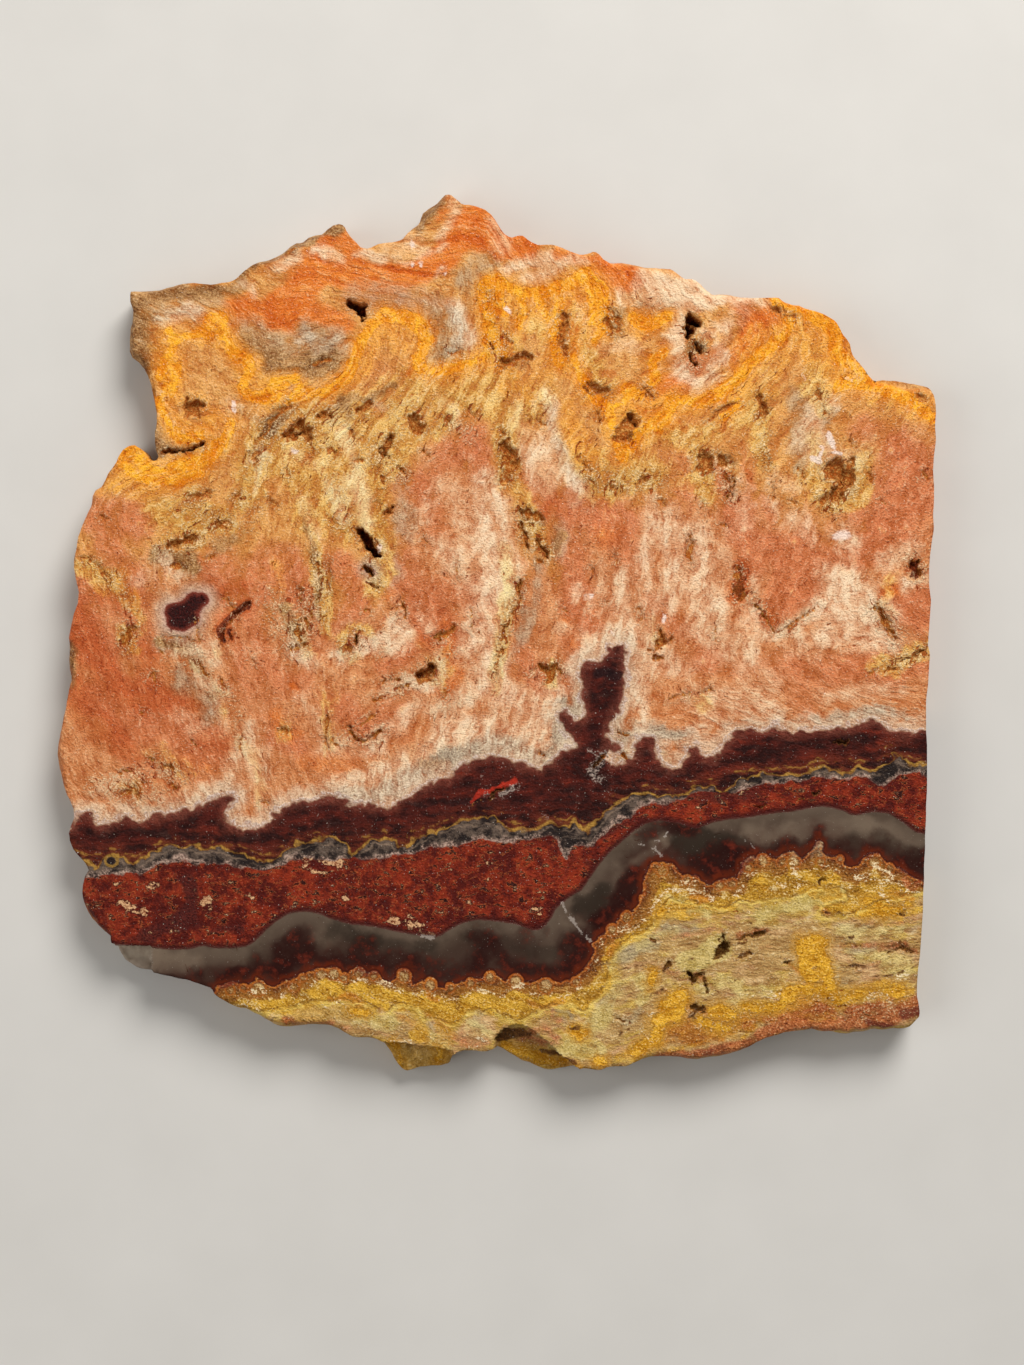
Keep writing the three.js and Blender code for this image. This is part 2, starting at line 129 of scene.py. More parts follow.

# ---------------------------------------------------------------- streaks in the upper opal
# Each entry is a radius in trace units, a strength, and the points of a soft stroke.
CREAM = [
    (14, .45, "738,485 742,505 744,520"), (12, .35, "720,530 722,550"), (12, .3, "778,490 784,512"), (12, .4, "790,648 810,652"), (14, .45, "850,632 868,645"),
    (14, .4, "750,678 775,684"), (10, .3, "812,400 828,402"), (8, .5, "836,618 846,628"),
    (6, .6, "326,246 336,252 340,262"), (7, .4, "426,298 438,304"),
    (10, .5, "712,590 716,610 720,632"), (12, .45, "660,665 690,672"), (12, .45, "710,650 745,660"),
    (7, .7, "196,668 202,674 206,682"), (8, .6, "212,688 220,696"), (6, .6, "162,650 178,652 196,650"), (11, .9, "502,668 498,684 496,700"), (9, .6, "452,552 448,566"),
    (14, .7, "672,520 690,540 700,570"), (14, .6, "690,590 700,610 690,630"), (12, .5, "720,560 722,590 726,610"), (10, .6, "486,500 490,520 494,540"),
    (10, .5, "770,470 786,480 800,486"), (10, .5, "770,500 780,510 790,520"),
    (7, 1, "334,656 350,656 372,646"), (6, 1, "392,622 402,632 410,636"), (6, .9, "412,684 426,688 438,684"), (7, .9, "288,646 298,652 306,658"),
    (7, .4, "236,746 246,760 256,782"), (9, 1, "350,484 362,500 366,524"), (8, .5, "330,486 338,500 346,516"), (8, .8, "340,440 350,456 360,476"), (10, .5, "290,452 306,460 322,464"), (10, .6, "330,420 340,430 350,440"), (5, 1, "376,544 384,548"), (9, 1, "540,456 546,470 550,480"),
    (5, 1, "548,388 550,396"), (4, 1, "550,402 549,430"), (6, .9, "372,406 378,410"), (6, .9, "258,446 266,452"), (5, .9, "254,458 248,462"),
    (3, .9, "264,454 258,476 252,496"), (10, .9, "450,306 460,320 466,340"), (10, .9, "650,276 670,282 690,286"), (8, 1, "660,296 690,300 720,300"),
    (10, .8, "690,280 705,290 712,300"), (9, .9, "676,318 674,340 680,372"), (7, .9, "702,336 716,332 726,322"), (7, .8, "716,348 726,338"),
    (6, 1, "694,380 704,392 716,382"), (8, 1, "840,588 850,600 848,620"), (10, .9, "822,600 832,616 828,634"), (8, .9, "866,640 882,640 892,646"),
    (6, 1, "906,584 914,580"), (6, .8, "796,628 804,636 800,642"), (5, .9, "600,640 606,632 614,628"), (6, .7, "664,540 668,556 670,572"),
    (7, .8, "620,576 623,596 626,616"), (5, .7, "752,646 756,652"), (6, .4, "400,236 412,240 424,250"), (4, .9, "310,252 318,248 328,256"),
    (5, .8, "356,258 368,256 380,260"), (3, .8, "442,276 446,266"), (7, .9, "186,310 196,318"), (4, .9, "164,408 170,420"), (5, .8, "276,272 286,264 294,256"),
    (15, .9, "486,482 484,520 492,560 500,600"), (12, .8, "500,505 508,545 512,590"), (13, .7, "497,600 490,640 486,680"),
    (12, .5, "455,495 462,520 470,548"), (13, .65, "440,545 452,560 470,580"), (16, .6, "478,600 470,640 480,668"),
    (10, .85, "527,455 536,480 545,486"), (11, .7, "545,440 552,468 560,478"), (9, .6, "517,400 524,430 530,455"),
    (11, .8, "668,535 670,570 668,605"), (9, .75, "620,572 622,600 627,640"), (12, .55, "640,560 645,590 650,620"),
    (9, .7, "655,500 650,530 640,560"), (8, .5, "600,560 604,590 606,615"), (10, .5, "700,560 702,600 706,640"),
    (17, .95, "832,578 845,600 862,622"), (16, .9, "850,580 872,600 884,625"), (10, .8, "820,640 850,632 880,638"),
    (9, .85, "770,632 795,622 822,604"), (10, .7, "880,560 900,556 915,548"), (8, .8, "905,588 916,580 925,576"),
    (9, .6, "820,700 860,692 900,690"), (12, .6, "690,700 730,696 765,698"), (10, .7, "700,722 740,712 780,712"),
    (12, .75, "640,700 645,670 640,640"), (10, .8, "612,632 600,645 590,655"), (12, .6, "548,700 560,680 570,660"),
    (13, .6, "520,700 535,715 552,735"), (16, .85, "372,786 410,762 450,738"), (16, .9, "450,738 490,726 540,735"),
    (13, .7, "400,770 440,752 470,728"), (12, .8, "470,735 500,740 528,752"), (14, .5, "500,690 530,700 560,720"),
    (12, .35, "240,790 252,770 262,742"), (10, .4, "262,800 268,776 266,752"), (9, .7, "230,770 240,750 250,732"),
    (8, .6, "200,800 218,788 232,780"), (9, .6, "312,800 326,782 345,776"), (8, .8, "350,780 372,772 392,768"),
    (9, .75, "288,652 300,656 312,668"), (8, .85, "345,660 362,652 384,640"), (8, .75, "368,646 380,640 392,644"),
    (8, .75, "388,688 408,684 424,686"), (6, .8, "432,690 436,672 438,656"), (9, .6, "395,600 402,625 400,650"),
    (8, .55, "420,610 430,625 440,640"), (10, .5, "140,580 160,570 170,560"), (8, .5, "100,790 140,770 170,770"),
    (9, .5, "150,790 180,800 210,792"), (12, .45, "180,720 200,730 225,735"), (9, .7, "200,650 206,640 218,660"),
    (8, .55, "165,560 180,575 190,590"), (10, .4, "86,800 120,805 160,806"), (9, .6, "330,745 352,752 380,745"),
    (10, .7, "372,740 400,724 420,706"), (10, .75, "436,716 460,700 480,690"), (9, .6, "300,700 310,716 318,740"),
    (7, .9, "344,778 352,776"), (5, .9, "379,786 386,782"), (9, .6, "575,590 585,600"), (9, .6, "560,625 575,630 585,640"),
    (10, .5, "700,530 705,560"), (12, .5, "800,520 812,540"), (12, .7, "844,536 850,545"), (9, .6, "812,450 820,470 824,440"),
    (9, .75, "812,420 822,440 832,460"), (12, .6, "830,400 815,420 800,440"), (10, .5, "870,440 860,460 850,452"),
    (9, .85, "175,320 190,313 203,322"), (5, .7, "238,282 250,288 256,298"), (7, .6, "268,271 282,262 296,250"),
    (6, .7, "438,236 448,222 459,207 450,197"), (4, .6, "362,254 385,259 409,262 431,254 446,242"),
    (8, .9, "509,270 526,260 545,256"), (8, .8, "530,281 545,272 556,266"), (7, .7, "560,262 572,258 584,262"),
    (9, .9, "642,288 655,282 673,286"), (9, .95, "655,296 680,292 700,290"), (9, .95, "673,300 700,302 730,298"),
    (8, .95, "706,294 725,296 745,299"), (6, .8, "750,300 765,304 778,303"), (10, .6, "625,300 640,304 655,306"),
    (8, .9, "690,380 700,392 706,402"), (6, .9, "704,378 712,370 722,360"), (6, .8, "712,398 722,388 730,376"),
    (6, .8, "676,330 682,350 684,372"), (7, .7, "580,300 590,320 600,340"), (8, .5, "600,350 620,345 640,350"),
    (8, .7, "545,395 552,420 556,450"), (7, .8, "563,468 578,482 592,492"), (8, .6, "440,395 450,410 458,430"),
    (10, .4, "390,250 405,245 418,240"), (8, .6, "492,222 498,235 506,246"), (7, .55, "332,330 345,345 352,360"),
    (8, .5, "232,405 226,420 222,440"), (7, .6, "164,410 172,428 178,436"), (6, .65, "160,392 166,402 168,412"),
    (7, .6, "300,500 312,520 318,540"), (8, .7, "330,492 340,505 344,520"), (9, .5, "440,480 430,500 425,520"),
    (9, .55, "660,640 668,655 672,668"), (9, .6, "740,640 748,610 752,585"), (7, .6, "752,660 756,630 758,610"),
    (8, .5, "720,600 726,630 728,655"), (6, .8, "640,690 643,715 640,738"), (5, .8, "580,690 584,672 590,656"),
    # white crystals of the rim band, then of the lower opal
    (3, 1, "384,984 392,988 400,992"), (3, 1, "412,991 424,994 434,996"), (4, 1, "442,998 450,1000 460,997"), (3, 1, "466,996 476,990 488,992"),
    (3, 1, "490,992 500,997 506,994"), (3, 1, "510,990 516,986 522,984"), (3, .9, "314,984 320,976 330,976"), (3, .9, "330,976 336,982 342,986"),
    (3, 1, "354,982 361,978 368,983"), (3, .9, "374,984 382,983 388,986"), (3.5, 1, "284,996 290,996 294,1002"), (3.5, 1, "250,993 258,991 265,994"),
    (3, .8, "260,1008 252,1012 246,1008"), (3, .9, "236,1004 242,1008 246,1004"), (3, .7, "296,992 304,990 310,986"), (3, .9, "545,990 552,992 560,996"),
    (3, .8, "530,995 540,996 548,994"), (3, .9, "566,995 574,990 582,985"), (3, .8, "588,976 592,966 598,956"), (3, .9, "600,948 602,940 610,936"),
    (3.5, 1, "616,934 622,930 628,926"), (3, 1, "630,930 640,926 648,918"), (3, 1, "650,912 656,904 664,895"), (3, 1, "666,893 672,888 678,892"),
    (4, 1, "684,884 692,886 696,880"), (3, .9, "690,894 698,892 702,896"), (4, 1, "704,890 710,896 714,900"), (3, .8, "730,896 738,892 744,888"),
    (4, 1, "745,876 752,878 756,874"), (3, .8, "745,884 740,892 736,896"), (4, 1, "794,862 796,868 796,874"), (3.5, 1, "776,885 782,888 790,884"),
    (3, .9, "790,884 796,888 800,880"), (3, .8, "806,872 812,868 820,868"), (3, .8, "820,866 830,868 838,872"), (4, 1, "856,878 862,880 868,876"),
    (4.5, 1, "874,864 880,870 888,874"), (4.5, 1, "886,876 894,880 902,886"), (3, .8, "872,880 880,882 888,884"), (3.5, .9, "880,890 886,896 892,902"),
    (3, .8, "848,884 852,890 856,896"), (3, .8, "904,886 912,892 922,894"), (5, .9, "768,994 776,996 784,992"), (3, .8, "834,1004 836,1006 838,1004"),
    (3.5, .8, "868,996 880,994 890,998"), (3, .8, "890,998 894,1004 890,1008"), (3, .6, "810,1008 814,1008"), (4, .7, "906,972 914,976 920,974"),
    (4, .7, "888,978 900,976 912,980"), (4, .6, "700,985 712,992 720,998"), (4, .6, "742,994 752,996 760,992"), (5, .7, "640,1026 645,1034 650,1040"),
    (3, .6, "632,1032 628,1030 624,1034"), (4, .6, "652,1000 654,1008 650,1014"), (4, .6, "606,1014 612,1020 620,1016"), (3, .6, "604,994 612,994 618,990"),
    (5, .8, "478,1036 484,1044 470,1048"), (4, .6, "432,1026 434,1032 430,1038"), (3, .8, "390,1039 400,1040 410,1040"), (4, .6, "398,1028 400,1024"),
    (4, .7, "322,1006 332,1004 340,1002"), (4, .5, "346,1006 352,1012 346,1010"), (3, .6, "350,1024 356,1026"), (5, .7, "366,994 368,1000 370,996"),
    (3, .6, "752,914 756,918 748,912"), (3, .6, "700,936 712,944 716,930"), (2.5, .8, "722,938 726,934 728,930"), (3, .5, "660,946 672,948 680,944"),
]
CORAL = [
    (10, .4, "850,535 885,560"), (10, .4, "870,690 895,688"),
    (12, .9, "476,592 484,606 486,620"), (9, .9, "300,752 284,740 272,738"), (10, .9, "206,736 222,742"),
    (16, 1, "70,560 84,590 80,620"), (14, .9, "100,700 120,730 150,740"), (14, .8, "120,600 140,625 150,650"), (12, .8, "150,680 160,700 180,700"),
    (14, .9, "180,740 200,756 220,760"), (12, .8, "225,620 236,640 240,665"), (12, .8, "250,612 262,640 268,670"), (10, .6, "566,520 572,536 580,548"),
    (14, 1, "92,520 112,532 140,522"), (14, 1, "105,548 118,560 136,580"), (15, 1, "82,605 96,625 108,650"), (10, 1, "76,640 100,662 130,688"),
    (12, .9, "92,706 120,716 156,724"), (14, 1, "205,566 225,585 256,596"), (6, 1, "196,726 206,729 216,730"), (11, .9, "336,566 348,582 356,598"),
    (12, .9, "262,566 280,580 300,592"), (12, 1, "434,604 442,620 448,634"), (8, .8, "400,652 406,662"), (14, .8, "330,700 350,716 368,742"),
    (14, .6, "470,418 478,446 486,474"), (10, .5, "442,446 456,456"), (10, .8, "522,452 528,470 528,488"), (13, 1, "530,490 560,498 596,502"),
    (16, .8, "654,458 676,470 684,490"), (13, .9, "574,502 590,512 600,506"), (12, .7, "612,524 626,540 640,556"), (12, .7, "576,604 588,628 600,646"),
    (9, .9, "572,584 584,590"), (12, .8, "566,640 574,660 572,680"), (13, .5, "650,602 664,612 684,632"), (14, 1, "740,306 752,322 760,344"),
    (9, .8, "718,362 706,366 694,372"), (8, 1, "682,382 688,392 692,400"), (13, .8, "858,430 872,440 890,450"), (14, .8, "884,476 900,486 925,462"),
    (18, .6, "868,510 892,520 920,530"), (14, .4, "786,560 792,580 800,592"), (14, .4, "900,600 915,612 928,624"),
    (14, .4, "806,668 830,672 862,668"), (10, .5, "880,664 905,668 925,664"), (10, .8, "716,470 722,500 730,522"),
    (9, .8, "746,450 748,480 748,508"), (8, .8, "766,500 770,515"), (12, .5, "700,640 712,652 706,668"), (12, .5, "664,664 690,672 700,664"),
    (10, .8, "484,580 490,600 484,620"), (10, .7, "488,636 490,650"), (10, .8, "520,650 530,668 540,690"), (12, .6, "505,690 520,706 540,712"),
    (12, .7, "310,400 320,408 334,402"), (9, .6, "348,388 362,392"), (12, .6, "376,356 386,368 372,378"), (10, .6, "150,700 170,708 180,722"),
    (15, .9, "92,505 112,516 140,510"), (16, .8, "100,520 120,535 135,530"), (14, .9, "70,625 86,632 97,650"),
    (14, 1, "90,640 100,662 116,678"), (12, .9, "110,668 125,684 145,692"), (15, .7, "75,690 100,705 130,720"),
    (15, .85, "150,715 175,730 190,742"), (13, .7, "160,700 190,720 215,735"), (16, .85, "225,560 240,575 232,600"),
    (16, .85, "250,590 275,580 300,575"), (12, .8, "255,560 270,548 285,556"), (14, .9, "290,560 300,585 310,600"),
    (17, .9, "335,565 350,580 356,600"), (14, .6, "320,600 340,612 352,620"), (18, .75, "405,560 420,590 425,615"),
    (18, .95, "420,610 440,630 460,640"), (15, .8, "440,590 470,600 490,596"), (14, .7, "395,580 410,600 415,620"),
    (16, .8, "385,480 402,474 420,484"), (14, .7, "420,490 432,510 436,530"), (13, .7, "440,465 462,450 478,440"),
    (12, .8, "466,440 480,455 484,470"), (13, .8, "385,665 400,658 415,650"), (12, .7, "450,700 440,680 448,655"),
    (12, .8, "522,488 530,500 545,506"), (16, .95, "560,505 585,515 610,530"), (14, .8, "580,490 600,505 625,520"),
    (12, .6, "612,540 622,560 632,575"), (14, .8, "566,555 578,572 584,590"), (13, .9, "570,590 575,612 585,625"),
    (11, .6, "655,604 665,615 680,630"), (12, .6, "590,620 604,612 612,600"), (16, .95, "738,520 748,545 752,570"),
    (18, 1, "770,545 790,565 800,590"), (18, 1, "790,580 780,600 768,612"), (16, .9, "800,540 815,560 812,590"),
    (14, .95, "835,562 865,545 890,525"), (16, 1, "880,530 905,510 930,495"), (13, .8, "860,560 880,545 905,540"),
    (15, .95, "886,596 905,604 928,600"), (15, 1, "900,612 918,620 930,610"), (12, .9, "895,450 905,462 900,440"),
    (13, .8, "870,425 890,432 905,450"), (12, .6, "905,480 920,470 932,455"), (14, .6, "850,515 870,505 890,490"),
    (12, .7, "725,490 735,505 742,520"), (12, .55, "700,660 740,668 790,662"), (14, .6, "800,665 840,660 880,668"),
    (14, .65, "860,668 890,672 925,668"), (12, .55, "780,680 820,684 850,676"), (11, .6, "800,700 805,710 812,714"),
    (12, .6, "660,470 680,462 700,470"), (9, .7, "735,568 738,580 736,600"), (13, .5, "210,700 225,690 240,700"),
    (14, .6, "250,680 270,695 285,690"), (12, .7, "285,680 300,690 305,676"), (12, .55, "340,700 360,720 380,716"),
    (12, .55, "390,700 400,712 390,726"), (13, .6, "330,620 318,640 312,655"), (13, .5, "400,720 380,735 360,730"),
    (14, .5, "260,720 290,740 320,756"), (13, .6, "110,740 130,760 150,770"), (12, .5, "190,770 210,780 200,760"),
    (12, .5, "315,310 300,330 290,320"), (12, .7, "350,300 372,300 392,302"), (12, .6, "400,300 412,306 420,312"),
    (9, .8, "692,362 706,358 718,352"), (9, .7, "690,374 702,368"), (10, .55, "540,680 560,690 575,700"),
    # pinkish parts of the lower opal
    (7, .8, "380,1012 384,1020 378,1026"), (6, .6, "408,1012 412,1020 410,1026"), (9, .8, "466,1026 480,1022 492,1024"), (8, .8, "462,1038 476,1040 490,1036"),
    (8, .6, "548,1020 552,1030 548,1044"), (6, .6, "304,1014 320,1012 334,1012"), (7, .7, "664,968 650,964 640,968"), (6, .6, "700,956 690,962 680,970"),
    (7, .7, "760,930 780,932 800,930"), (7, .7, "836,920 850,922 870,924"), (7, .8, "838,956 850,960 870,970"), (7, .8, "888,950 900,956 916,958"),
    (6, .7, "870,970 890,966 910,964"), (6, .6, "700,1014 704,1022 696,1024"), (7, .7, "842,1024 860,1026 850,1022"), (6, .6, "740,968 752,964 760,958"),
    (7, .5, "680,985 690,1000 700,1000"), (6, .6, "736,976 750,984 764,980"),
]
GREY = [
    (5, 1, "524,610 521,626 518,638"),
    (9, .7, "618,722 630,738 626,750"), (7, .6, "640,728 660,730 680,738"),
    (10, 1, "182,672 188,682 180,686"), (9, 1, "206,706 212,712 208,718"), (6, .9, "158,644 176,640 192,645"), (5, .8, "196,660 204,668"),
    (8, .7, "524,630 520,642 516,652"),
    (7, .9, "580,712 573,706 566,698"), (8, .9, "566,742 572,748 560,752"), (7, .9, "618,716 612,728 620,736"), (6, .8, "556,722 558,734 562,742"),
    (9, .55, "176,676 186,684 190,690"), (9, .5, "204,704 212,714 216,720"), (9, .45, "402,506 408,520 410,532"), (8, .7, "390,546 396,560 398,576"),
    (7, .9, "444,742 452,756"), (10, 1, "306,328 322,334 338,338"), (9, .8, "262,346 280,350 296,352"), (10, .8, "462,280 472,290 478,300"),
    (8, .8, "430,344 438,352"), (8, .8, "428,322 438,332"), (12, .8, "800,400 806,420 808,444"), (9, .7, "790,430 796,450 800,466"),
    (8, .7, "446,382 454,396"), (9, .7, "574,464 586,474 600,484"), (8, .5, "556,530 560,544"), (5, .45, "539,562 538,580 540,596"),
    (6, .4, "520,622 518,634 522,644"), (6, .4, "526,612 532,618"), (7, .9, "480,282 486,272 496,266"), (10, .6, "380,288 396,292 410,296"),
    (6, .6, "538,557 540,584 536,609"), (6, .6, "536,609 525,626 519,641"), (9, .8, "442,745 452,752"),
    (12, .5, "404,520 406,534"), (14, .5, "395,480 404,500 404,520"), (9, .6, "466,752 478,748"), (9, .6, "430,762 440,756"),
    (13, .5, "182,681 186,688"), (12, .55, "211,712 208,704"), (9, .7, "200,690 212,698"), (12, .5, "168,645 180,648"),
    (14, .5, "160,600 165,630 185,645"), (12, .5, "190,575 205,580 214,600"), (13, .25, "200,560 188,570"),
    (12, .55, "250,395 240,410"), (13, .8, "300,330 318,345 340,350"), (14, .75, "260,335 280,345 300,355"),
    (13, .7, "240,325 255,330 270,345"), (13, .6, "355,290 380,300 405,310"), (14, .6, "165,300 190,298 215,300"),
    (12, .55, "150,310 160,330 158,350"), (12, .7, "430,300 440,325 440,350"), (12, .75, "465,275 480,262 492,258"),
    (10, .6, "425,335 435,345 445,350"), (14, .8, "440,305 458,315 462,340"), (11, .5, "805,400 798,430 808,450"),
    (12, .5, "590,505 572,500 560,490"), (8, .6, "556,560 560,540 556,520"), (9, .5, "575,470 590,480 606,486"),
    (9, .6, "580,712 572,722 565,735"), (9, .6, "598,730 604,745"), (10, .5, "645,745 660,740 680,735"),
    (8, .6, "632,720 640,735"), (8, .6, "566,712 575,700"), (10, .45, "655,630 650,620"), (9, .4, "712,610 716,630"),
    (10, .5, "905,715 890,712 870,712"), (8, .6, "840,718 860,714 884,712"), (8, .5, "786,726 806,722 830,722"),
    (10, .5, "850,540 840,530 836,545"), (9, .6, "835,400 830,420"), (12, .4, "700,405 712,410"),
    # dark parts of the clear agate, then grey parts of the lower opal
    (7, .9, "440,754 448,748 452,758"), (5, .7, "556,748 562,740"),
    (14, 1, "680,836 700,842 720,844"), (12, .9, "690,850 712,848 735,842"), (12, .8, "735,846 745,840 748,850"), (10, .9, "576,908 590,900 604,890"),
    (9, .8, "590,918 600,905 596,924"), (10, .6, "470,940 520,945 560,955"), (12, .6, "780,848 830,846 860,842"), (12, .7, "880,838 900,846 920,856"),
    (10, .7, "332,930 380,944 430,948"), (8, .7, "664,926 680,930 694,926"), (8, .8, "626,952 640,948 656,944"), (7, .7, "606,966 618,960 632,956"),
    (7, .8, "556,1008 566,1014 570,1022"), (6, .6, "838,924 850,930 866,928"), (7, .7, "850,950 862,952 872,948"), (6, .6, "900,926 912,930 920,924"),
    (6, .6, "560,1040 556,1050 560,1058"), (7, .6, "480,1016 474,1022 484,1028"), (7, .5, "430,1022 428,1034 424,1044"), (8, .6, "330,1016 344,1014 360,1018"),
    (6, .6, "600,1004 612,1000 606,1006"), (6, .6, "624,1026 632,1020 640,1010"), (7, .5, "782,908 800,906 820,902"), (7, .5, "836,972 840,984 846,978"),
]
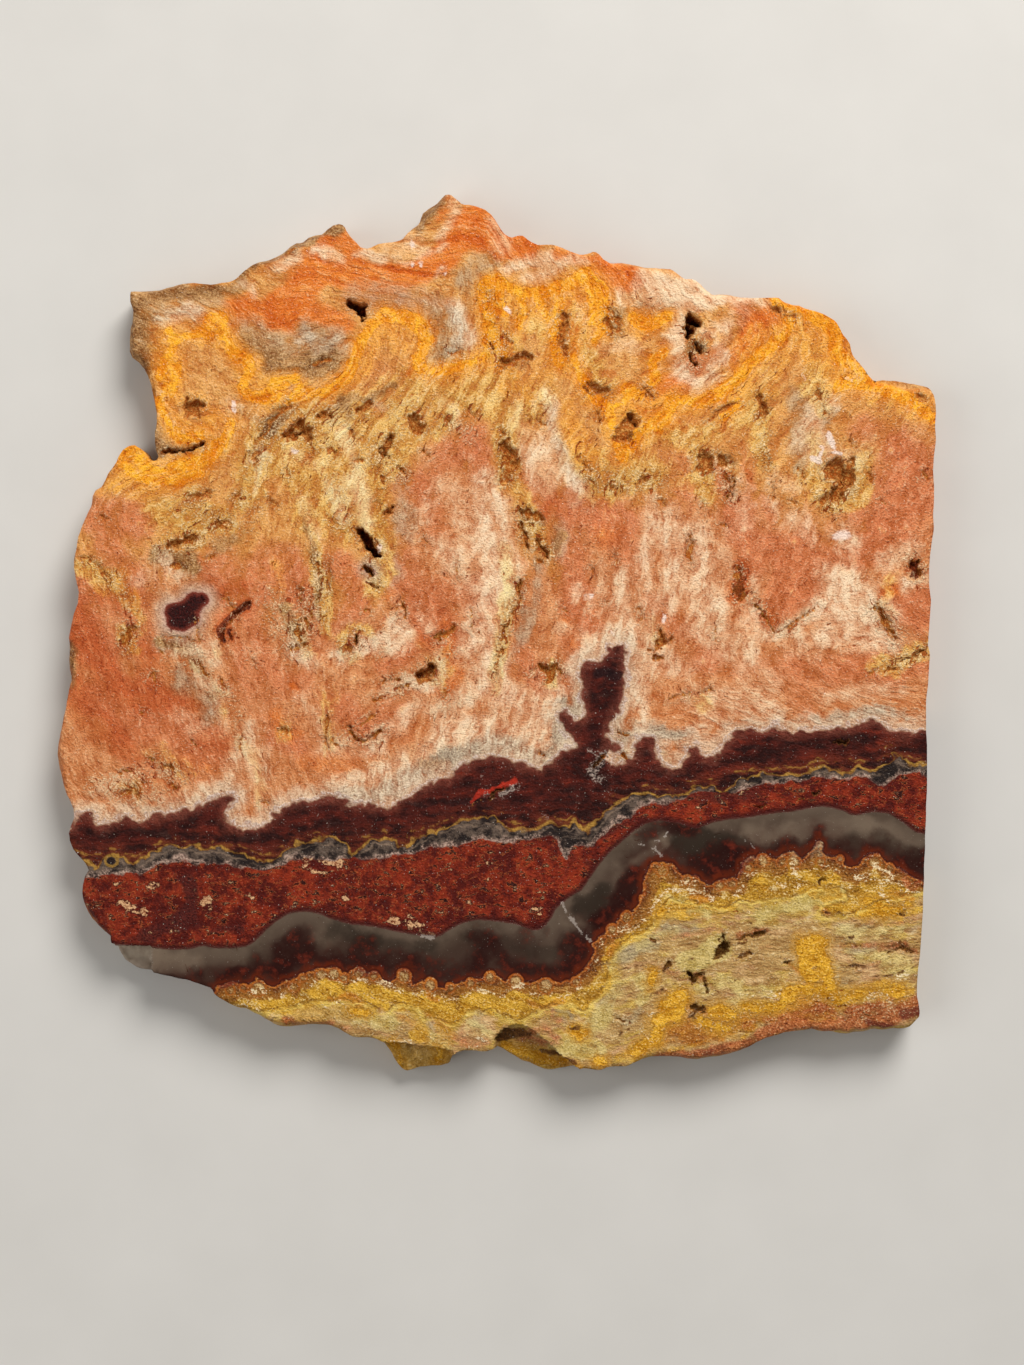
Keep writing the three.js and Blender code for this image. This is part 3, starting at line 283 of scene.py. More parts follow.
GOLD = [
    (6, .9, "506,452 510,462"), (5, .6, "512,446 514,454"),
    (6, .7, "196,664 204,672"), (7, .5, "216,690 222,700 226,716"), (6, .5, "214,650 222,656"),
    (5, .9, "622,752 628,758 616,760"), (5, .7, "660,756 672,760"), (4, .7, "546,675 552,682"),
    (6, .5, "80,566 92,574 104,590"), (7, .7, "114,574 124,590 132,606"), (6, .6, "122,628 130,642 136,650"), (11, 1, "152,512 172,518 196,520"),
    (8, 1, "210,514 222,520 232,526"), (12, 1, "270,430 284,450 300,446"), (12, 1, "300,450 322,446 340,440"), (12, 1, "346,424 356,444 362,470"),
    (9, 1, "356,478 366,490 368,510"), (12, .9, "330,488 344,508 352,524"), (9, .9, "396,444 408,448 414,440"), (12, .8, "418,424 434,430 448,424"),
    (13, .9, "440,404 460,398 480,404"), (7, 1, "318,562 322,590 326,614"), (10, 1, "528,408 532,414"), (11, 1, "506,446 512,460 510,472"),
    (9, 1, "604,480 616,484 628,480"), (8, 1, "703,482 707,492 712,500"), (8, 1, "758,426 762,446 768,462"), (9, 1, "836,502 848,500 858,494"),
    (9, 1, "808,390 820,396 828,412"), (9, .9, "815,468 818,480"), (8, .9, "510,582 514,600 508,622"), (7, .9, "502,640 498,664 496,690"),
    (9, .9, "530,526 540,530"), (10, .8, "864,470 868,488 860,500"), (8, .8, "884,664 896,666"), (8, .8, "905,650 918,648 928,642"),
    (7, .9, "548,678 550,684"), (9, .8, "706,700 700,704"), (10, .9, "740,384 752,400 748,414"), (12, .8, "660,432 690,436 712,432"),
    (22, .85, "250,452 280,462 310,470"), (18, .95, "262,440 258,465 246,495"), (16, .7, "215,450 195,475 160,485"),
    (20, .8, "300,400 340,410 380,420"), (22, .85, "310,430 350,440 390,460"), (20, 1, "345,455 355,480 362,500"),
    (16, 1, "360,470 372,485 368,510"), (14, 1, "372,500 378,520 384,545"), (12, .9, "378,545 384,570 372,588"),
    (18, .85, "320,480 330,510 345,530"), (16, .8, "305,470 300,500 305,520"), (18, .8, "400,400 430,400 450,390"),
    (20, .85, "420,380 450,380 480,380"), (18, .85, "480,380 500,395 510,420"), (17, .8, "500,350 510,380 520,410"),
    (14, .9, "505,440 512,460 508,480"), (10, .85, "515,480 522,500 530,520"), (7, .9, "532,520 540,540 548,552"),
    (16, .8, "500,400 530,405 545,390"), (10, 1, "525,405 532,412 540,404"), (14, .6, "395,430 410,445 400,462"),
    (17, .8, "590,460 610,468 640,470"), (16, .85, "600,490 625,486 650,478"), (14, .7, "640,460 665,470 680,480"),
    (14, .6, "560,430 575,450 590,465"), (9, .95, "764,413 762,440 768,465"), (12, .6, "730,420 745,440 755,455"),
    (12, .7, "810,480 830,490 850,500"), (11, .9, "822,498 840,504 860,498"), (11, .8, "815,440 818,460 815,480"),
    (10, .8, "865,455 868,475 862,490"), (9, .8, "700,440 700,460 704,480"), (6, .8, "702,478 704,496"),
    (8, .85, "318,553 320,580 322,600"), (6, .85, "322,600 324,620 326,635"), (6, .8, "306,506 312,530 316,553"),
    (9, .8, "76,560 90,565 108,575"), (10, .8, "100,575 115,585 126,598"), (8, .9, "122,627 130,640 128,652"),
    (7, .6, "128,598 138,612 140,628"), (12, .85, "160,512 180,520 200,520"), (12, .8, "190,500 205,510 222,520"),
    (12, .7, "205,530 215,522 228,512"), (9, .7, "170,540 185,545 200,545"), (8, .8, "342,640 346,652 352,660"),
    (7, .8, "350,632 360,630 372,634"), (8, .6, "300,620 305,640 310,655"), (8, .9, "548,668 550,680"),
    (8, .75, "505,550 508,580 506,610"), (6, .7, "504,610 500,640 497,670"), (8, .5, "375,560 380,575"),
    (9, .6, "330,690 328,720 330,745"), (10, .5, "240,740 252,756 258,770"), (9, .5, "262,780 262,795"),
    (18, .55, "500,300 505,320 510,340"), (16, .8, "512,300 530,310 545,320"), (14, .85, "545,300 552,330 560,360"),
    (15, .7, "575,310 585,335 590,360"), (15, .75, "590,360 600,375 610,385"), (16, .75, "800,320 812,345 815,370"),
    (15, .7, "815,380 830,372 850,380"), (12, .6, "780,345 772,370 760,390"), (16, .6, "730,400 750,405 775,395"),
    (15, .55, "640,430 660,440 690,440"), (14, .5, "850,470 865,450 880,440"), (12, .5, "870,395 890,402 910,415"),
    (10, .7, "270,400 290,395 300,402"), (9, .6, "345,395 370,385 400,372"), (12, .5, "110,480 130,490 150,500"),
    (10, .5, "660,640 655,625"), (9, .55, "890,580 880,600 885,620"), (9, .7, "905,660 918,652 928,650"),
    (8, .7, "866,668 885,670 900,664"), (9, .6, "150,755 170,760 190,772"), (8, .6, "120,790 135,785"),
    (7, .6, "420,650 430,664 434,680"), (9, .5, "448,655 442,680 450,700"), (9, .6, "285,725 282,738"),
    # bright yellow parts of the rim band and the lower opal
    (5, 1, "668,904 680,908 694,904"), (4, .9, "694,904 712,908 734,908"), (5, .8, "672,914 686,918 698,914"), (4, .9, "800,892 818,890 836,890"),
    (5, .9, "812,896 828,898 842,896"), (4, 1, "822,909 842,907 860,910"), (6, 1, "868,905 876,899 884,903"), (5, .9, "860,912 880,914 896,916"),
    (5, .9, "752,884 762,882 764,892"), (5, .9, "808,878 820,880 836,878"), (4, .8, "896,886 906,894 914,900"), (4, .7, "900,912 912,912 922,910"),
    (6, .9, "745,1006 760,1006 776,1010"), (5, .9, "780,994 790,992 796,996"), (6, .8, "838,992 860,988 880,984"), (5, .8, "880,984 896,988 912,992"),
    (6, .8, "840,1004 850,1000 862,998"), (6, .8, "710,1012 724,1010 736,1014"), (6, .9, "656,1020 660,1032 656,1044"), (5, .9, "620,1058 630,1052 640,1046"),
    (6, .7, "574,1030 576,1036 580,1030"), (5, .8, "668,1052 690,1044 704,1040"), (5, .8, "744,1036 752,1028 760,1022"), (4, .9, "612,950 604,962 608,974"),
    (4, .9, "620,942 632,936 644,932"), (4, .9, "612,978 610,988 600,996"), (5, .9, "312,994 322,992 336,988"), (6, 1, "326,984 332,988 340,992"),
    (5, 1, "354,988 360,986 366,990"), (6, .9, "376,992 390,996 402,998"), (6, .9, "402,998 420,1000 436,1002"), (6, .8, "436,1006 450,1006 464,1004"),
    (5, .8, "470,998 480,998 488,996"), (5, .9, "492,1002 500,1004 508,1006"), (5, 1, "450,1018 456,1020 462,1014"), (4, .8, "466,1008 480,1006 494,1012"),
    (5, .9, "506,1012 514,1014 520,1010"), (5, .9, "512,995 520,996 528,998"), (5, .8, "540,1002 552,1000 566,998"), (4, .8, "556,1010 566,1008 574,1010"),
    (5, .8, "288,1002 284,1008 276,1010"), (4, .7, "262,1006 270,1008 278,1002"), (4, .8, "284,1014 294,1010 306,1008"), (4, .7, "306,1006 320,1002 336,998"),
    (6, .9, "412,1034 418,1036 424,1032"), (5, .8, "364,1002 374,1004 386,1008"), (5, .7, "428,1014 440,1016 448,1020"), (8, .6, "440,1050 446,1056 440,1062"),
    (4, .7, "402,1008 412,1006 422,1008"), (9, .7, "520,1052 530,1056 544,1062"), (9, .6, "390,1048 400,1056 412,1064"), (7, .6, "400,1068 420,1066 438,1062"),
]
ORANGE = [
    (8, .9, "300,282 330,275 360,277 385,272"), (7, .9, "385,272 410,268 435,262"), (9, .9, "435,262 452,248 470,235"), (8, .8, "470,232 490,229 512,240"),
    (8, .5, "424,296 440,304"),
    (12, .9, "788,1006 806,1010 824,1008"), (7, .9, "827,974 829,990"), (12, .9, "668,1024 682,1028 700,1036"), (9, .7, "714,1022 730,1026"), (8, .7, "744,1018 770,1016"),
    (12, .5, "735,585 745,610 750,630"),
    (10, 1, "345,270 372,272 400,276"), (9, 1, "400,276 420,274 436,268"), (9, 1, "442,246 448,256 444,264"), (8, .8, "470,226 484,232 492,238"),
    (8, .8, "300,286 312,276 322,268"), (9, .9, "284,300 292,312 286,322"), (7, 1, "412,374 424,376 428,386"), (7, .9, "616,278 628,276 636,282"),
    (6, .9, "624,396 634,400 636,408"), (8, .9, "646,404 652,410 660,414"), (7, .8, "574,296 580,312 578,326"), (6, .9, "724,404 718,412"),
    (6, .8, "886,592 880,600"), (5, .8, "292,688 299,694"),
    (13, .75, "232,306 250,316 268,316"), (14, .9, "270,316 290,300 306,284"), (13, 1, "300,298 312,280 324,268"),
    (10, 1, "330,272 350,274 372,280"), (12, 1, "350,277 378,280 405,280"), (11, 1, "400,276 425,270 442,260"),
    (14, 1, "440,255 456,240 470,228"), (13, 1, "462,222 478,220 492,228"), (12, .9, "480,240 500,242 520,244"),
    (10, .9, "500,250 516,246 530,246"), (12, .8, "330,245 345,240 352,250"), (11, .6, "290,270 300,260 312,250"),
    (12, .8, "300,310 325,314 345,325"), (10, .7, "250,300 240,310 232,320"), (9, .7, "440,210 446,200"),
    (8, .8, "555,252 570,256 590,260"), (11, .95, "598,270 615,274 636,276"), (10, .8, "606,284 620,288 638,282"),
    (11, .7, "772,310 756,322 748,340"), (13, .7, "756,330 746,350 736,368"), (12, .6, "740,350 752,330"),
    (12, 1, "626,396 638,404 652,402"), (12, 1, "640,404 655,412 664,420"), (10, .9, "634,410 650,424"),
    (10, .8, "655,388 665,398 680,402"), (10, .8, "664,382 680,380 692,392"), (9, .8, "772,315 782,330"),
    (10, .7, "560,300 566,320 564,345"), (9, .8, "572,345 576,370 582,388"), (9, .7, "188,432 200,436 210,430"),
    (10, .6, "274,716 280,730 292,736"), (10, .6, "448,655 452,640 446,630"),
    (9, .6, "452,690 458,672"), (10, .5, "500,590 494,620"), (8, .7, "762,612 770,618"), (9, .7, "882,590 896,588"),
    (10, .4, "180,760 200,770 220,772"), (12, .5, "350,760 330,770 310,765"), (9, .6, "390,595 400,610"),
    (8, .6, "565,620 575,640"), (10, .5, "615,528 600,540"), (10, .4, "700,430 690,420"), (9, .5, "310,262 320,250 330,240"),
    # orange-brown parts of the lower opal
    (7, .9, "664,1022 680,1022 694,1026"), (6, .9, "690,1036 706,1032 720,1036"), (7, .8, "720,1024 736,1020 750,1028"), (7, .9, "796,1006 806,1008 822,1010"),
    (7, .8, "800,1018 812,1016 828,1016"), (6, .8, "848,1008 862,1008 876,1006"), (5, .9, "826,972 828,984 824,992"), (5, .9, "644,1050 650,1044 640,1056"),
    (5, .7, "838,1012 856,1016 868,1012"), (4, .8, "700,902 712,900 692,898"), (4, .8, "892,890 904,896 914,898"), (5, .7, "612,948 618,944 608,955"),
    (5, .6, "560,1000 545,1008 530,1002"), (5, .7, "346,998 354,1000 360,1006"), (5, .7, "284,1022 300,1024 312,1022"), (4, .8, "330,1000 350,998 358,1002"),
    (4, .8, "428,994 432,998 436,1000"), (5, .6, "400,1018 406,1018 412,1022"), (5, .8, "506,1044 516,1050 530,1054"), (6, .6, "548,1066 570,1066"),
    (6, .6, "770,1018 784,1020 796,1022"), (6, .6, "660,1044 672,1040 684,1040"), (5, .6, "880,1000 900,1000 914,1004"), (6, .5, "700,1022 712,1026 722,1024"),
]
BROWN = [
    (9, .9, "156,556 176,562 196,566"), (8, .8, "160,640 180,650 196,652"), (6, .9, "70,645 72,665 74,688"), (7, .8, "284,606 292,620 300,640"),
    (3, .6, "316,546 317,580 318,616"), (3, .5, "329,560 330,600"), (5, .7, "306,520 308,540 314,556"), (7, .7, "196,664 206,676 212,692"),
    (5, .8, "366,399 380,391 394,384"), (6, .7, "278,414 268,430"), (6, .8, "610,314 620,318 624,312"), (6, .7, "606,324 612,328"),
    (6, .7, "500,482 506,482"), (7, .7, "692,350 700,352"), (5, .7, "640,304 660,307 675,306"), (6, .6, "868,610 878,618"),
    (6, .6, "860,604 872,612"), (4, .7, "802,612 814,606"), (5, .6, "728,458 734,464"), (6, .7, "524,514 540,520"), (5, .7, "560,532 556,548"),
    (8, .6, "140,360 150,376"), (6, .6, "152,420 156,440"), (8, .7, "310,356 324,364 334,368"),
    (14, 1, "133,300 133,330 134,350"), (12, 1, "140,355 152,375 156,400"), (9, 1, "156,400 158,430 160,452"),
    (12, .9, "140,296 170,292 205,290"), (10, .7, "205,292 225,290 240,284"), (10, .6, "150,320 158,345 160,360"),
    (12, .75, "240,345 262,355 285,362"), (12, .9, "270,370 300,372 330,360"), (9, 1, "305,362 320,362 332,356"),
    (10, .6, "255,372 270,380"), (9, .6, "335,350 345,356"), (8, 1, "240,270 258,262 275,254"), (8, 1, "275,252 290,243 310,236"),
    (8, 1, "310,236 325,232 340,228"), (9, .9, "418,224 424,212 432,204"), (8, .7, "440,198 448,198"),
    (9, .5, "430,350 440,356 450,352"), (7, .9, "165,440 180,450 200,448"), (9, .8, "265,425 275,412 290,402"),
    (6, .7, "335,408 345,402 356,396"), (6, .7, "340,400 350,410 345,420"), (10, .6, "500,357 515,362 528,360"),
    (6, .6, "562,312 562,330 565,350"), (9, .6, "606,310 615,320 620,330"), (9, .6, "620,420 628,432 628,446"),
    (8, .6, "596,386 604,392"), (7, .5, "645,388 652,396"), (12, .45, "700,460 712,452 725,455"),
    (10, .5, "835,468 845,476 850,488"), (6, .6, "690,346 700,350"), (8, .5, "905,392 920,396 928,404"),
    (8, .5, "868,384 886,380 905,384"), (10, .35, "165,560 180,552 195,556"), (10, .3, "300,640 308,630"),
    (8, .5, "220,545 235,538 245,530"), (8, .4, "230,540 218,550"), (9, .5, "240,370 250,392"),
    # cracks and dark streaks of the lower opal
    (2, .9, "746,924 756,924"), (2.5, 1, "752,936 760,934 765,931"), (2, .9, "738,942 745,942"), (2, .9, "740,956 747,952"),
    (2, .8, "826,912 836,911 842,911"), (2, 1, "850,967 857,966 866,968"), (2, 1, "882,948 892,946 900,942"), (2, 1, "900,944 906,950 912,952"),
    (2, .8, "872,976 890,974 904,972"), (2, .8, "850,936 854,937"), (2.5, .9, "664,972 668,968 671,964"), (2, .8, "648,996 656,994 664,988"),
    (2, .8, "620,970 632,967 640,965"), (2, .9, "655,941 652,940"), (3, .9, "574,1030 580,1028"), (2, .9, "620,1034 628,1030"),
    (2.5, .8, "700,1008 694,1012 690,1016"), (2, .8, "692,1020 704,1020"), (2, .6, "780,968 770,972 764,976"), (4, .9, "508,1032 520,1036 532,1038"),
    (5, 1, "502,1042 512,1038 522,1034"), (4, .8, "545,1060 560,1062 574,1064"), (2, .8, "446,992 448,988"), (2, .6, "400,1020 404,1019"),
    (2.5, .7, "904,966 912,968 920,964"), (3, .7, "655,1048 660,1050"), (2, .7, "866,1012 860,1018 870,1014"), (2, .7, "690,960 696,958"),
]
# Bright yellow-orange veins: half width and points. Their edges are crisp.
AMBER = [
    (2.6, "165,361 170,352 174,344 184,337 196,335 206,333"), (3.4, "206,334 210,326 213,318 219,317 225,320 224,330"),
    (3.2, "222,322 224,338 229,348 236,356 250,361 251,370"), (3.2, "250,364 249,374 244,386 248,394 255,398"),
    (3.6, "252,397 262,395 270,391 274,382 284,382 296,380 300,387"), (3.2, "283,388 275,396 264,400"),
    (2.6, "300,386 296,396 290,400"), (2.8, "168,362 174,370 171,382 165,392 161,402 163,414"), (3, "163,412 169,426 179,436 188,438 200,436"),
    (1.8, "178,364 178,380 172,394"), (2.2, "160,375 164,366 168,360"), (3, "168,330 172,334 170,340"),
    (2.6, "303,396 316,392 331,387 340,384"), (3.2, "340,384 348,378 352,364 356,352"), (3.6, "356,352 362,341 370,330 377,322"),
    (4.2, "377,322 386,311 394,317 409,318 420,323"), (4.6, "392,318 408,320 420,326 426,338"), (4, "426,338 424,348 418,358 420,368"),
    (3, "420,366 430,371 442,371 456,367"), (2.6, "456,367 470,364 479,360 487,351"), (3.2, "487,352 487,338 493,330 496,345"),
    (4.2, "483,286 485,300 488,318 490,334"), (3.2, "490,334 497,344 502,354 504,364"), (3.6, "483,286 491,280 499,280 507,286"),
    (3.6, "507,286 515,291 530,293 545,292"), (3.4, "545,292 560,286 574,281 586,272"), (5, "580,278 590,278 598,285"),
    (4.2, "598,284 604,296 603,312 604,326"), (2.8, "604,326 600,334 596,340"), (4, "632,319 642,326 654,323 666,317"),
    (2.4, "665,352 657,358 652,364 657,374 650,384"), (2.2, "574,359 578,372 584,388 592,398"), (2.8, "592,398 602,404 609,408 620,404 630,396"),
    (3.2, "609,407 612,424 618,436 622,456"), (2.6, "624,458 631,447 640,432 652,426 660,428"), (4.4, "640,430 655,424 668,416 674,404"),
    (4, "670,402 685,402 700,402 712,398"), (4.4, "700,402 719,395 733,383 742,374"), (3.6, "733,384 744,372 754,362 766,350 776,342"),
    (3.2, "776,342 786,334 790,322"), (3, "738,402 730,410 722,416"), (3, "560,300 556,314 560,330"), (2.4, "552,330 556,350 560,362"),
    (5.4, "122,455 131,450 139,455 145,466"), (5.4, "145,467 156,472 170,471 184,466"), (5, "184,465 200,460 214,452 222,444"),
    (3, "222,444 229,434 232,424"), (3, "120,462 132,472 146,479 160,481"), (2.6, "160,481 180,480 200,472"),
    (5, "838,386 852,384 868,385 884,387"), (5, "884,387 896,392 906,398 918,406"), (4.2, "918,407 926,412 934,418"),
    (4.6, "803,308 815,316 826,322 835,328"), (4.4, "836,330 834,342 838,354 850,364"), (4.4, "850,364 858,370 866,378"),
    (3, "775,300 785,304 796,308"), (2.6, "498,286 500,300 504,314"),
    (2.2, "522,296 524,312 520,326"), (2.4, "536,294 540,308 548,318"), (3, "590,290 594,306 592,322"), 
    
    (3.4, "626,390 634,392 640,398"),
]
# Maroon specks away from the band: half width and points
MAROON = [
    (10, "174,613 184,612 194,603"), (7.5, "173,622 182,624 192,618"), (7, "202,600 196,604"),
    (2, "898,1018 908,1016 916,1012"), (1.4, "368,569 372,572"),
]
# Round beads of the rim line: radius and middle
BEADS = [
    (8, "404,976"), (8, "430,985"), (7, "490,977"), (8, "516,981"), (9, "546,986"), (9, "258,989"), (6, "230,990"), (6, "294,987"),
    (8, "321,975"), (8, "334,974"), (7, "359,973"), (6, "374,976"), (6, "344,978"), (6, "470,983"), (7, "662,871"), (5, "655,866"),
    (7, "627,917"), (7, "612,930"), (8, "763,860"), (6, "748,868"), (6, "782,862"), (8, "794,862"), (6, "820,862"), (5, "840,859"),
    (8, "874,862"), (6, "688,880"), (6, "890,868"), (5, "602,940"), (6, "720,886"), (6, "732,884"), (5, "302,978"), (5, "244,988"),
    (6, "450,988"), (6, "576,982"), (6.5, "112,861"),
]
# Gold and orange blocks in the lower yellow opal: half width and points
BLOCKS = [
    (7.5, "804,944 820,943"), (8.5, "806,952 808,964"), (8, "816,950 823,963"), (8, "806,968 812,976"), (6, "824,966 829,978 830,991"),
    (5, "786,994 796,990 810,988"), (4.6, "808,993 820,990 832,994"), (6.5, "673,999 684,997"), (8, "668,1006 679,1008"), (7, "657,1021 668,1016 676,1014"),
    (5.5, "712,1012 722,1010 731,1014"), (4.6, "747,1007 759,1009"), (4.6, "768,1008 782,1004 792,1000"), (5.5, "657,1028 655,1040"),
    (6, "646,1043 636,1053"), (4, "700,1020 712,1024 730,1030"), (4.4, "598,1062 602,1060"), (4.2, "653,975 650,984"), (3, "836,1000 848,998"),
    (6, "574,1030 580,1034"), (3.4, "868,900 880,904 892,900"), (3.8, "884,908 896,910 908,904"), (3, "856,912 870,914 884,912"),
    (3, "845,998 860,994 876,992"), (3.4, "876,992 890,990 904,994"), (3, "904,994 898,986 888,984"), (2.6, "660,914 664,908"),
    (4, "506,1046 514,1056 524,1062"), (5, "526,1058 540,1066 556,1070"), (4, "560,1068 575,1068"), (2.6, "440,1024 448,1036"),
    (4, "392,1046 400,1058 402,1068"), (4, "438,1050 444,1058 440,1064"), (2.6, "418,1030 426,1040"), (2.6, "352,1010 366,1014"),
]
PALE = [  # pale green-yellow and cream lenses in the lower yellow opal
    (9, 1, "686,962 704,952 718,942"), (8, .9, "694,968 712,960 726,952"), (9, .9, "672,904 690,908 706,912"),
    (8, .9, "800,902 822,896 840,894"), (7, .9, "760,914 784,908 806,906"), (10, .8, "572,1040 590,1030 604,1020"),
    (9, .8, "560,1050 580,1054 600,1050"), (8, .8, "640,1000 650,990 640,980"), (9, .6, "840,930 870,934 900,930"),
    (8, .7, "700,990 720,980 740,984"), (8, .6, "730,1000 760,990 790,988"), (8, .6, "600,1020 612,1000 622,984"),
    (9, .8, "362,1016 380,1024 392,1022"), (8, .7, "430,1038 446,1046"), (8, .6, "470,1024 490,1034 505,1040"),
    (7, .6, "640,945 660,936 676,930"), (7, .5, "745,920 770,926 800,926"), (8, .7, "856,960 880,956 910,962"),
    (6, .7, "884,968 900,974 914,972"), (10, .5, "300,1012 330,1014 350,1020"), (8, .6, "412,1056 420,1064"),
]
RUST = [  # soft strokes that darken the upper opal, broadest on its left, a red streak in the maroon, then brown and rust streaks in the lower yellow opal
    (20, .4, "78,620 92,655 118,688 150,702"), (16, .4, "72,690 88,720 110,738"), (12, .4, "132,640 148,660 152,690"), (9, .4, "170,694 185,702 196,706"),
    (12, .35, "100,590 120,600 140,596"), (12, .35, "206,738 226,744"), (12, .35, "118,745 150,778 170,792"), (10, .35, "205,580 220,592 240,588"), (12, .3, "545,470 552,500 548,540"),
    (9, .3, "405,735 420,760 440,768"), (9, .35, "420,640 440,652"),
    (4.4, 1, "250,603 243,607 236,614"), (4.4, 1, "235,616 229,623 224,632 222,640"), (2, 1, "232,630 231,640"), (6, .7, "742,568 740,584 739,600"), (3, .7, "606,370 614,372"),
    (2.4, .7, "516,354 528,352"), (3, .6, "698,370 706,374"), (2.4, .6, "726,474 728,500"), (2.4, .6, "748,470 746,482"), (2.4, .7, "582,606 588,600"),
    (6, .9, "916,566 916,578"), (2.6, .6, "681,426 683,430"),
    (3, 1, "474,800 486,791 500,784 514,779"), (2.5, .7, "700,800 730,796 760,792"), (4, .8, "738,936 752,932 766,930"), (4, .7, "696,974 706,980 712,986"), (4, .7, "840,944 870,946 905,944"),
    (4, .8, "880,950 900,946 918,952"), (3, .8, "790,965 800,970"), (4, .6, "850,962 862,966 880,964"),
    (4, .7, "650,966 664,970 676,974"), (3, .7, "646,990 656,994 668,990"), (6, .8, "690,1008 700,1010 708,1012"),
    (7, 1, "660,1056 690,1056 720,1050"), (7, 1, "720,1050 745,1044 770,1032"), (6, 1, "770,1032 800,1024 830,1028"),
    (8, 1, "830,1026 860,1022 890,1020"), (9, 1, "880,1018 900,1012 918,1008"), (6, .9, "820,1006 850,1010 880,1006"),
    (5, .8, "890,996 905,1004 918,1000"), (5, .7, "780,1020 800,1014 820,1010"), (5, .6, "730,1030 750,1022 770,1016"),
    (9, .8, "532,1036 520,1046 545,1052"), (8, .6, "548,1030 560,1044"), (6, .6, "548,1010 560,1020"), (4, .6, "816,908 830,912"),
    (4, .7, "905,880 915,890 922,880"), (3, .5, "610,940 622,930 640,920"), (8, .6, "456,1036 470,1044 486,1042"),
    (5, .5, "660,940 690,934 720,930"), (4, .5, "760,950 790,944 820,942"), (4, .5, "870,926 900,922 922,924"),
    (5, .8, "284,1022 306,1020 330,1022"), (5, .5, "340,1026 360,1032 376,1036"), (4, .5, "420,1012 436,1022 450,1026"),
]
DARK = [  # dark clouds: the lean blotch and the lower edge of the jasper, then the maroon clouds in the grey agate
    (7, 1, "597,677 606,675 616,678"), (3, .9, "600,764 594,770"), (3, .7, "604,755 608,757"), (9, .6, "640,790 700,796 760,790"), (9, .5, "440,812 480,800 500,798"),
    (6, 1, "187,880 190,896 194,912"), (8, 1, "186,906 184,920 176,926"), (8, .9, "178,920 164,930 148,938"),
    (5, .9, "194,912 198,924"), (5, .7, "214,932 226,928 240,924"), (5, .7, "150,936 130,940"), (5, .6, "240,926 252,938"),
    (5, .6, "246,858 256,862"), (6, .5, "90,905 104,925 110,935"), (4, .6, "566,848 570,864 568,876"), (5, .6, "580,858 590,868"),
    (9, .8, "234,978 250,970 262,968"), (12, 1, "280,972 292,960 300,952"), (10, .9, "284,950 294,942 306,948"),
    (9, .7, "296,938 302,934"), (9, .8, "320,958 340,962 356,962"), (9, .7, "352,950 364,944 372,946"), (12, .9, "366,966 392,964 412,962"),
    (9, .6, "430,970 450,974 470,968"), (12, .9, "478,962 486,952 490,944"), (10, .8, "494,948 508,962 520,968"),
    (9, .7, "476,940 484,934"), (10, .7, "530,970 550,972 566,968"), (10, .9, "572,966 580,956 582,946"), (8, .8, "566,950 576,940 586,938"),
    (11, 1, "600,922 616,908 626,898"), (10, .9, "620,900 632,888 638,874"), (8, .8, "622,884 634,876"), (7, .6, "520,935 535,938 545,930"),
    (13, 1, "700,866 716,862 728,860"), (12, 1, "712,870 722,872 736,866"), (11, .9, "722,852 728,848 736,856"), (8, .6, "700,852 708,848"),
    (7, .8, "782,846 794,842"), (6, .9, "812,842 818,836 820,828"), (8, .7, "838,850 852,858"), (8, .7, "866,852 872,846 880,850"),
    (9, .9, "900,860 912,868 926,872"), (8, .8, "912,850 924,858"), (6, .6, "600,834 622,822 640,818"), (9, .8, "640,836 650,828 664,826"),
    (6, .8, "668,824 690,832"), (5, .7, "200,978 190,972"), (8, .9, "222,982 236,972"), (9, .7, "760,850 770,848 750,854"),
    (5, .9, "868,1022 880,1026 890,1026"), (6, 1, "904,1014 912,1012 918,1010"), (4, .7, "700,1052 712,1050 724,1046"),
]
CLEAR = [  # paler patches of the grey agate; those over the thin ledge at the lower left are partly painted light showing through it
    (8, .7, "843,860 858,858"),
    (9, .8, "640,860 650,850 660,840"), (7, .8, "655,846 664,838 668,832"), (12, .6, "620,870 608,886"), (14, .9, "752,832 770,836 790,834"),
    (14, .8, "800,828 830,826 860,830"), (12, .8, "870,828 890,830 905,840"), (10, .6, "915,850 925,842"), (14, .5, "290,930 310,930 330,936"),
    (12, .5, "240,958 220,962 180,962"), (16, 1, "115,958 130,960 150,960"), (12, .8, "150,960 170,962 190,964"), (12, .5, "560,960 545,950 555,930"),
    (9, .6, "562,914 576,928 588,940"), (12, .3, "400,945 420,950 440,950"), (6, .9, "742,838 752,846 760,850"),
]
